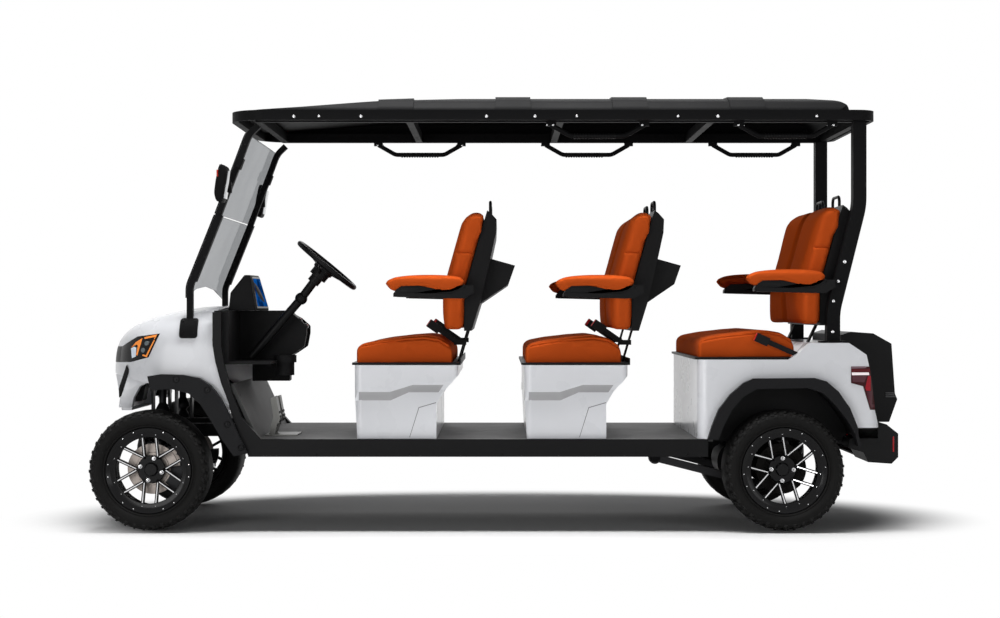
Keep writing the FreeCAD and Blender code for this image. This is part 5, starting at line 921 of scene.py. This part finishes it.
stud_z = 1.884
stud_xs = (-0.925, -0.81, -0.62, -0.05, 0.17, 0.36, 0.82, 1.0, 1.45)
roof_studs = bmesh.new()
for hit, normal in side_hits(node_tree("roof_frame", "roof_shell"), [(x, stud_z) for x in stud_xs]):
    add_screw(roof_studs, hit, normal, 0.0065, 0.004)
handle_xs = (-0.635, 0.208, 1.081)
handle_low_z, handle_high_z = (corner[2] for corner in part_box("grab_handles"))
handle_tree = node_tree("grab_handles")
foot_steps = (0.018, 0.045, 0.425, 0.452)
foot_places = [(first_x + step, handle_high_z - 0.012) for first_x in handle_xs for step in foot_steps]
for hit, normal in side_hits(handle_tree, foot_places):
    add_screw(roof_studs, hit, normal, 0.005, 0.0035)
new_piece("roof_studs", roof_studs, bright_steel, slot="bare_steel")

# The grips of the grab handles: black rubber sleeves with moulded rings where the hand closes. They
# are pushed on over the bent tubes before the feet are bolted to the roof rails.
grips = bmesh.new()
grip_ring_count, grip_pitch, ring_half = 15, 0.013, 0.0042
for side in (-1, 1):
    for first_x in handle_xs:
        middle_x = first_x + 0.235
        start = Vector((middle_x, side * 0.3, handle_low_z + 0.006))
        hit, _, _, _ = handle_tree.ray_cast(start, Vector((0, side, 0)))
        if hit is None:
            continue
        for number in range(grip_ring_count):
            x = middle_x + (number - grip_ring_count // 2) * grip_pitch
            ring = Vector((x, hit.y + side * 0.009, handle_low_z + 0.0095))
            half = Vector((ring_half, 0, 0))
            add_bar(grips, ring - half, ring + half, 0.013, 18, bevel=0.002)
new_piece("handle_grips", grips, control_black)


# The bench cushions: foam under burnt-orange marine leather, tailored with a top panel that is seamed to
# a side band, and two shallow sewn channels that part the seats across the bench.
def pebbled_leather(name, colour):
    """Coated leather: pebble grain over soft creases, a little duller and darker where it is worn."""
    return node_material(
        name,
        {
            "place": "TexCoord", "patch": "TexNoise", "shades": "Mix data_type RGBA", "gloss": "MapRange",
            "pebble": "TexVoronoi", "crease": "TexNoise", "height": "Math operation MULTIPLY_ADD",
            "bump": "Bump",
        },
        (
            ("shader", "Specular IOR Level", 0.0), ("shader", "Metallic", 0.13),
            ("shader", "Specular Tint", (1.0, 0.5, 0.3, 1)), ("patch", "Scale", 5.0),
            ("patch", "Detail", 5.0), ("shades", "A", (*[0.88 * c for c in colour], 1)),
            ("shades", "B", (*[1.1 * c for c in colour], 1)), ("gloss", "To Min", 0.34),
            ("gloss", "To Max", 0.5), ("pebble", "Scale", 620.0),
            ("crease", "Scale", 38.0), ("crease", "Detail", 6.0), ("height", 1, 0.35),
            ("bump", "Strength", 0.35), ("bump", "Distance", 0.0012),
        ),
        (
            ("place", "Object", "patch", "Vector"), ("place", "Object", "pebble", "Vector"),
            ("place", "Object", "crease", "Vector"), ("patch", "Fac", "shades", "Factor"),
            ("patch", "Fac", "gloss", "Value"), ("gloss", "Result", "shader", "Roughness"),
            ("shades", "Result", "shader", "Base Color"), ("pebble", "Distance", "height", 0),
            ("crease", "Fac", "height", 2), ("height", 0, "bump", "Height"),
            ("bump", "Normal", "shader", "Normal"),
        ),
    )


def side_view(shares, front_x, length, low_z, height):
    """A line of (x, z) points in metres from shares of a length and a height."""
    return [(front_x + x * length, low_z + z * height) for x, z in shares]


def foam_block(outline, half_width, corner_radius, edge_radius):
    """Foam cut to a side view of (x, z) points, as wide as the seat, with its edges rounded."""
    mesh = bmesh.new()
    face = mesh.faces.new([mesh.verts.new((x, -half_width, z)) for x, z in outline])
    ease(mesh, list(face.verts), corner_radius, 5, "VERTICES")
    thicken(mesh, mesh.faces[:], (0, 2 * half_width, 0))
    bmesh.ops.recalc_face_normals(mesh, faces=mesh.faces)
    rims = [e for e in mesh.edges if abs(e.verts[0].co.y - e.verts[1].co.y) < 1e-6]
    ease(mesh, rims, edge_radius, 4)
    return mesh


def as_modified(piece):
    """An object's mesh as its modifiers leave it."""
    depsgraph = bpy.context.evaluated_depsgraph_get()
    return bpy.data.meshes.new_from_object(piece.evaluated_get(depsgraph))


def stuffed(name, mesh, voxel, pressure, swell_cap):
    """Foam that swells its cover: an even skin, then cloth under pressure with a capped travel, smoothed."""
    data = bpy.data.meshes.new(name)
    bmesh.ops.triangulate(mesh, faces=mesh.faces)
    mesh.to_mesh(data)
    mesh.free()
    piece = bpy.data.objects.new(name, data)
    bpy.context.scene.collection.objects.link(piece)
    skin = piece.modifiers.new("even_skin", "REMESH")
    skin.mode = "VOXEL"
    skin.voxel_size = voxel
    piece.data = as_modified(piece)
    piece.modifiers.clear()
    start = [vert.co.copy() for vert in piece.data.vertices]
    cloth = piece.modifiers.new("swell", "CLOTH")
    cloth.settings.quality = 4
    cloth.settings.use_pressure = True
    cloth.settings.uniform_pressure_force = pressure
    cloth.settings.effector_weights.gravity = 0.0
    cloth.settings.tension_stiffness = 12.0
    cloth.settings.bending_stiffness = 0.6
    for number in range(1, swell_frames + 1):
        bpy.context.scene.frame_set(number)
    for vert, old, new in zip(piece.data.vertices, start, as_modified(piece).vertices):
        move = new.co - old
        vert.co = old + move * min(1.0, swell_cap / max(move.length, 1e-6))
    piece.modifiers.clear()
    bpy.context.scene.frame_set(1)
    finer = piece.modifiers.new("finer", "SUBSURF")
    finer.levels = finer.render_levels = 1
    finished = as_modified(piece)
    bpy.data.objects.remove(piece)
    mesh = bmesh.new()
    mesh.from_mesh(finished)
    return mesh


def sewn(mesh, seam_distance, depth=0.0035, width=0.004):
    """Draws the cover in along a seam, given how far each point is from it."""
    mesh.normal_update()
    moves = []
    for vert in mesh.verts:
        away = seam_distance(vert.co)
        if away < 3 * width:
            moves.append((vert, vert.normal * depth * math.exp(-(away / width) ** 2)))
    for vert, move in moves:
        vert.co -= move


def along_line(points, x):
    """The height of a line of (x, z) points at a place along it."""
    for (x0, z0), (x1, z1) in zip(points, points[1:]):
        if x0 <= x <= x1:
            return z0 + (z1 - z0) * (x - x0) / (x1 - x0)
    return points[0][1] if x < points[0][0] else points[-1][1]


def leather_piece(name, mesh, node_name, shift):
    """One upholstered piece, moved to its bench."""
    copy = placed_copy(mesh, Matrix.Translation(shift))
    piece = new_piece(name, copy, marine_leather, "chassis", "leather", 60.0)
    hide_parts(node_name)


swell_frames = 20
marine_leather = pebbled_leather("marine_leather", (0.53, 0.08, 0.013))
bench_shift = ((0.0, 0.0, 0.0), (0.77, 0.0, 0.0), (1.558, 0.0, 0.025))
cushion_front_x = -0.649
cushion_length = 0.452
cushion_low_z = 0.7663
cushion_height = 0.124
cushion_half_width = 0.548
cushion_top_shares = (
    (0.0, 0.54), (0.05, 0.69), (0.24, 0.82), (0.5, 0.93), (0.7, 0.98), (0.84, 0.9), (0.95, 0.66),
)
cushion_inset = 0.004
crown_line = side_view(cushion_top_shares, cushion_front_x, cushion_length, cushion_low_z, cushion_height)
foot_tuck = 0.012
cushion_rear_x = cushion_front_x + 0.985 * cushion_length
cushion_outline = [(cushion_front_x + cushion_inset, cushion_low_z - foot_tuck)]
cushion_outline += [(x + cushion_inset, z - cushion_inset) for x, z in crown_line]
cushion_outline += [
    (cushion_rear_x, cushion_low_z + 0.34 * cushion_height), (cushion_rear_x, cushion_low_z - foot_tuck),
]
cushion_block = foam_block(cushion_outline, cushion_half_width - 0.004, 0.008, 0.009)
cushion = stuffed("bench_cushion", cushion_block, voxel=0.0095, pressure=2.4, swell_cap=0.004)
band_drop = 0.013
piping_y = cushion_half_width - 0.012
for vert in cushion.verts:
    vert.co.z = max(vert.co.z, cushion_low_z)


def band_distance(co):
    """How far a point is from the seam where the side band meets the top panel."""
    return math.hypot(max(0.0, piping_y - abs(co.y)), co.z - along_line(crown_line, co.x) + band_drop)


sewn(cushion, band_distance, depth=0.0065)
channel_low_z = cushion_low_z + 0.06
for seam_y in (-0.18, 0.18):
    sewn(
        cushion, lambda co: abs(co.y - seam_y) if co.z > channel_low_z else 1.0,
        depth=0.005, width=0.006,
    )
for number, shift in enumerate(bench_shift):
    leather_piece("bench_cushion_" + str(number + 1), cushion, "seat_cushions", shift)
cushion.free()

# The back cushions: one foam back a bench, divided into two padded lobes by a deep sewn valley, with a
# straight seam across each side panel and a full, rounded head roll.
back_front_x = -0.242
back_low_z = 0.909
back_height = 0.56
back_depth = 0.19
back_half_width = 0.52
back_shift = ((0.0, 0.0, 0.0), (0.77, 0.0, 0.0), (1.636, 0.0, 0.025))
back_face_shares = (
    (0.0, 0.0), (0.0, 0.27), (0.095, 0.445), (0.47, 0.9), (0.57, 0.965), (0.75, 1.0), (0.97, 0.98),
)
back_rear_shares = ((0.955, 0.95), (0.462, 0.34), (0.442, 0.0))
back_outline = side_view(
    back_face_shares + back_rear_shares, back_front_x, back_depth, back_low_z, back_height,
)
back_inset, face_points = 0.0024, 5
foam_outline = [(x + back_inset, z) for x, z in back_outline[:face_points]]
foam_outline += [(x - back_inset, z) for x, z in back_outline[face_points:]]
back_block = foam_block(foam_outline, back_half_width - 0.008, 0.016, 0.026)
back = stuffed("bench_back", back_block, voxel=0.0125, pressure=4.0, swell_cap=0.009)
face_line = [(z, x) for x, z in back_outline[:6]]
valley_half, valley_depth = 0.075, 0.05
head_share, head_drop = 0.88, 0.042
corner_y, corner_drop = 0.36, 0.03
lobe_y, lobe_swell = 0.27, 0.008
for vert in back.verts:
    x_face = along_line(face_line, vert.co.z)
    toward = max(0.0, 1.0 - max(0.0, vert.co.x - x_face) / (0.75 * back_depth))
    near = max(0.0, 1.0 - abs(vert.co.y) / valley_half)
    vert.co.x += valley_depth * toward * near ** 1.6
    roll = max(0.0, (vert.co.z - back_low_z) / back_height - head_share) / (1 - head_share)
    vert.co.z -= head_drop * roll * near ** 1.3
    corner = max(0.0, abs(vert.co.y) - corner_y) / (back_half_width - corner_y)
    vert.co.z -= corner_drop * roll * corner ** 2.2
    crown = math.cos(math.pi * min(1.0, abs(abs(vert.co.y) - lobe_y) / lobe_y) / 2)
    vert.co.x -= lobe_swell * toward * crown * (1.0 - roll)
side_seam_z, side_panel_y = 1.268, back_half_width - 0.03
valley_rear_x = back_front_x + 0.7 * back_depth
sewn(back, lambda co: abs(co.z - side_seam_z) if abs(co.y) > side_panel_y else 1.0, depth=0.0065)
sewn(back, lambda co: abs(co.y) if co.x < valley_rear_x else 1.0, depth=0.006, width=0.005)
for number, shift in enumerate(back_shift):
    leather_piece("bench_back_" + str(number + 1), back, "seat_back_pads", shift)
back.free()

# The armrests: leather pads over foam that thin towards the hand and swell over the pivot, with a seam
# round the side panel. One is shaped and stuffed, and mirrored copies go to the six seat ends.
arm_front_x = -0.509
arm_low_z = 1.078
arm_length = 0.366
arm_height = 0.084
arm_inner_y = 0.528
arm_width = 0.072
arm_outline_shares = (
    (0.0, 0.55), (0.03, 0.74), (0.12, 0.9), (0.28, 0.975), (0.5, 1.0), (0.76, 0.99), (0.93, 0.9),
    (0.985, 0.68), (0.96, 0.42), (0.88, 0.2), (0.8, 0.08), (0.7, 0.07), (0.6, 0.18), (0.48, 0.32),
    (0.4, 0.36), (0.2, 0.34), (0.12, 0.14), (0.06, 0.24),
)
arm_outline = side_view(arm_outline_shares[::-1], arm_front_x, arm_length, arm_low_z, arm_height)
arm_middle_y = arm_inner_y + arm_width / 2
arm_block = foam_block(arm_outline, arm_width / 2 - 0.003, 0.004, 0.014)
bmesh.ops.translate(arm_block, verts=arm_block.verts, vec=(0, arm_middle_y, 0))
armrest = stuffed("armrest", arm_block, voxel=0.0065, pressure=3.0, swell_cap=0.003)
arm_seam_half = arm_width / 2 - 0.009
arm_seam_low_z = arm_low_z + 0.03


def arm_seam_distance(co):
    """How far a point is from the two seams along the top of an arm pad."""
    return abs(abs(co.y - arm_middle_y) - arm_seam_half) if co.z > arm_seam_low_z else 1.0


sewn(armrest, arm_seam_distance, depth=0.0018, width=0.0028)
for number, shift in enumerate(back_shift):
    for side, sign in (("left", -1), ("right", 1)):
        mirrored = placed_copy(armrest, Matrix.Scale(sign, 4, (0, 1, 0)))
        leather_piece("armrest_" + str(number + 1) + "_" + side, mirrored, "armrests", shift)
        mirrored.free()
armrest.free()

# The seat fittings: moulded latches that carry the arm pads, hard back shells, the black rim under
# each cushion, and stiff-stalked buckles with red release keys.
trim_black = finish_paint("trim_black", (0.0067, 0.0067, 0.0071), 0.45, grain=0.3)
dress(trim_black, "seat_trims", "seat_shells", "armrest_trays", "seat_belts")
latch_outline_shares = (
    (0.1, -0.16), (0.1, 0.02), (0.14, 0.24), (0.2, 0.42), (0.41, 0.44), (0.5, 0.38), (0.62, 0.26),
    (0.72, 0.16), (0.82, 0.16), (0.9, 0.28), (0.975, 0.52), (1.005, 0.42), (0.99, 0.22), (0.93, -0.02),
    (0.86, -0.16),
)
latch_outline = side_view(latch_outline_shares[::-1], arm_front_x, arm_length, arm_low_z, arm_height)
latch_half_width = arm_width / 2 - 0.0035
latch_mesh = foam_block(latch_outline, latch_half_width, 0.002, 0.003)
slot_low = (arm_front_x + 0.2 * arm_length, latch_half_width - 0.002, arm_low_z + 0.06 * arm_height)
slot_high = (arm_front_x + 0.41 * arm_length, latch_half_width + 0.0026, arm_low_z + 0.3 * arm_height)
add_block(latch_mesh, slot_low, slot_high, bevel=0.001)
add_block(
    latch_mesh, (slot_low[0] - 0.008, slot_low[1], slot_low[2] - 0.006),
    (slot_high[0] + 0.012, slot_high[1] - 0.0012, slot_low[2] - 0.002), bevel=0.0008,
)
bmesh.ops.translate(latch_mesh, verts=latch_mesh.verts, vec=(0, arm_middle_y, 0))
all_latches = bmesh.new()
for shift in back_shift:
    for sign in (-1, 1):
        moved = Matrix.Translation(shift) @ Matrix.Scale(sign, 4, (0, 1, 0))
        join(all_latches, placed_copy(latch_mesh, moved))
latch_mesh.free()
new_piece("armrest_latches", all_latches, trim_black)

key_red = finish_paint("key_red", (0.62, 0.01, 0.012), 0.35)
belt_roots = (
    (-0.192, -0.3233, 0.842, 0.165, 35.0), (0.578, -0.3233, 0.842, 0.165, 35.0),
    (1.357, -0.562, 0.7906, 0.205, 24.0),
)
release_keys = bmesh.new()
for x, y, z, length, angle in belt_roots:
    for side in (-1, 1):
        near, far = (y - 0.0065, y + 0.0125) if side < 0 else (-y - 0.0125, -y + 0.0065)
        key_low, key_high = (-length - 0.003, near, -0.0085), (-length + 0.009, far, 0.0285)
        key = add_block(release_keys, key_low, key_high, bevel=0.0015)
        turn = Matrix.Translation((x, 0, z)) @ Matrix.Rotation(math.radians(angle), 4, "Y")
        bmesh.ops.transform(release_keys, matrix=turn, verts=key)
new_piece("release_keys", release_keys, key_red)

# The bench bases: white moulded boxes with a service hatch whose joint runs down the side. Under the flared
# top, a mid-grey band is laid on the white as painted shade where the chamfer faces down.
dress(body_white, "seat_base_front", "seat_base_middle", "rear_body")
# Painted shade: the chamfer under the flared top is white, and this grey stands in for the shade on its
# downward face.
painted_shade_grey = finish_paint("painted_shade_grey", (0.36, 0.36, 0.37), 0.35, coat=0.4)
base_band = (
    (-0.648, 0.5955), (-0.648, 0.6335), (-0.488, 0.6335), (-0.385, 0.6655), (-0.245, 0.6655),
    (-0.268, 0.632), (-0.402, 0.632), (-0.485, 0.5955),
)
hatch_joint = (
    (-0.4, 0.428), (-0.3975, 0.428), (-0.3555, 0.561), (-0.2785, 0.5835), (-0.2785, 0.587), (-0.358, 0.564),
)
base_tree = node_tree("seat_base_front", "seat_base_middle")
painted_shade_mesh = bmesh.new()
joint_mesh = bmesh.new()
for shift_x in (0.0, 0.77):
    for side in (-1, 1):
        band, joint = ([(x + shift_x, z) for x, z in line] for line in (base_band, hatch_joint))
        laid_panel(painted_shade_mesh, band, base_tree, side, 0.0008)
        laid_panel(joint_mesh, joint, base_tree, side, 0.0006, 0.0015, 0.03)
new_piece("painted_shade_bands", painted_shade_mesh, painted_shade_grey, slot="body_white")
new_piece("hatch_joints", joint_mesh, finish_paint("joint_grey", (0.2, 0.2, 0.21), 0.5))

# The tail: lamps whose clear smoked lenses hold a lit white blade and a crimson column, a black storage box
# with a latch plate, and a bumper with side reflectors that have a painted glow.
dress(trim_black, "rear_box", "rear_bumper")
lamp_smoke = finish_paint("lamp_smoke", (0.045, 0.004, 0.006), 0.15, coat=0.1)
dress(lamp_smoke, "tail_lamps")
lamp_tree = node_tree("tail_lamps", "rear_body")
lens_bands = (
    ("lamp_clear", (0.2, 0.12, 0.14), 0.0, ((1.599, 0.75), (1.662, 0.7505), (1.667, 0.743), (1.599, 0.74))),
    ("lamp_deep", (0.09, 0.002, 0.005), 0.05, (
        (1.599, 0.738), (1.686, 0.74), (1.69, 0.7255), (1.599, 0.724),
    )),
    ("lamp_blade", (0.85, 0.75, 0.76), 0.35, ((1.6, 0.7225), (1.677, 0.7225), (1.68, 0.711), (1.602, 0.71))),
    ("lamp_dusk", (0.1, 0.03, 0.04), 0.0, (
        (1.603, 0.707), (1.669, 0.707), (1.657, 0.677), (1.642, 0.679), (1.604, 0.681),
    )),
    ("lamp_crimson", (0.3, 0.003, 0.012), 0.1, (
        (1.674, 0.707), (1.695, 0.707), (1.702, 0.678), (1.703, 0.64), (1.667, 0.64), (1.662, 0.653),
    )),
    ("lamp_fade", (0.07, 0.008, 0.016), 0.0, (
        (1.668, 0.638), (1.703, 0.638), (1.7035, 0.567), (1.69, 0.565), (1.676, 0.59),
    )),
)
for name, colour, strength, outline in lens_bands:
    lens = bmesh.new()
    for side in (-1, 1):
        laid_panel(lens, outline, lamp_tree, side, 0.0016, 0.002, 0.012)
    new_piece(name + "_lens", lens, glowing(name, colour, strength), slot="lamp_lens")
box_trims = bmesh.new()
reflectors = bmesh.new()
latch_y, latch_low_z, latch_rear_x = 0.3855, 0.6, 1.846
reflector_y = 0.553
for side in (-1, 1):
    for step in range(3):
        low = (1.8, side * latch_y - 0.004, latch_low_z + step * 0.0085)
        high = (latch_rear_x - step * 0.004, side * latch_y + 0.004, low[2] + 0.006)
        add_block(box_trims, low, high, bevel=0.001)
    reflector_low = (1.796, side * reflector_y - 0.008, 0.36)
    add_block(reflectors, reflector_low, (1.8025, side * reflector_y + 0.008, 0.43), bevel=0.0012)
new_piece("box_latch_plates", box_trims, finish_paint("latch_grey", (0.05, 0.05, 0.052), 0.4))
# The reflectors get a little light of their own, a painted glow that stands in for the light they throw back.
reflector_painted_glow = glowing("reflector_painted_glow", (0.35, 0.008, 0.012), 0.1)
new_piece("bumper_reflectors", reflectors, reflector_painted_glow, slot="lamp_lens")
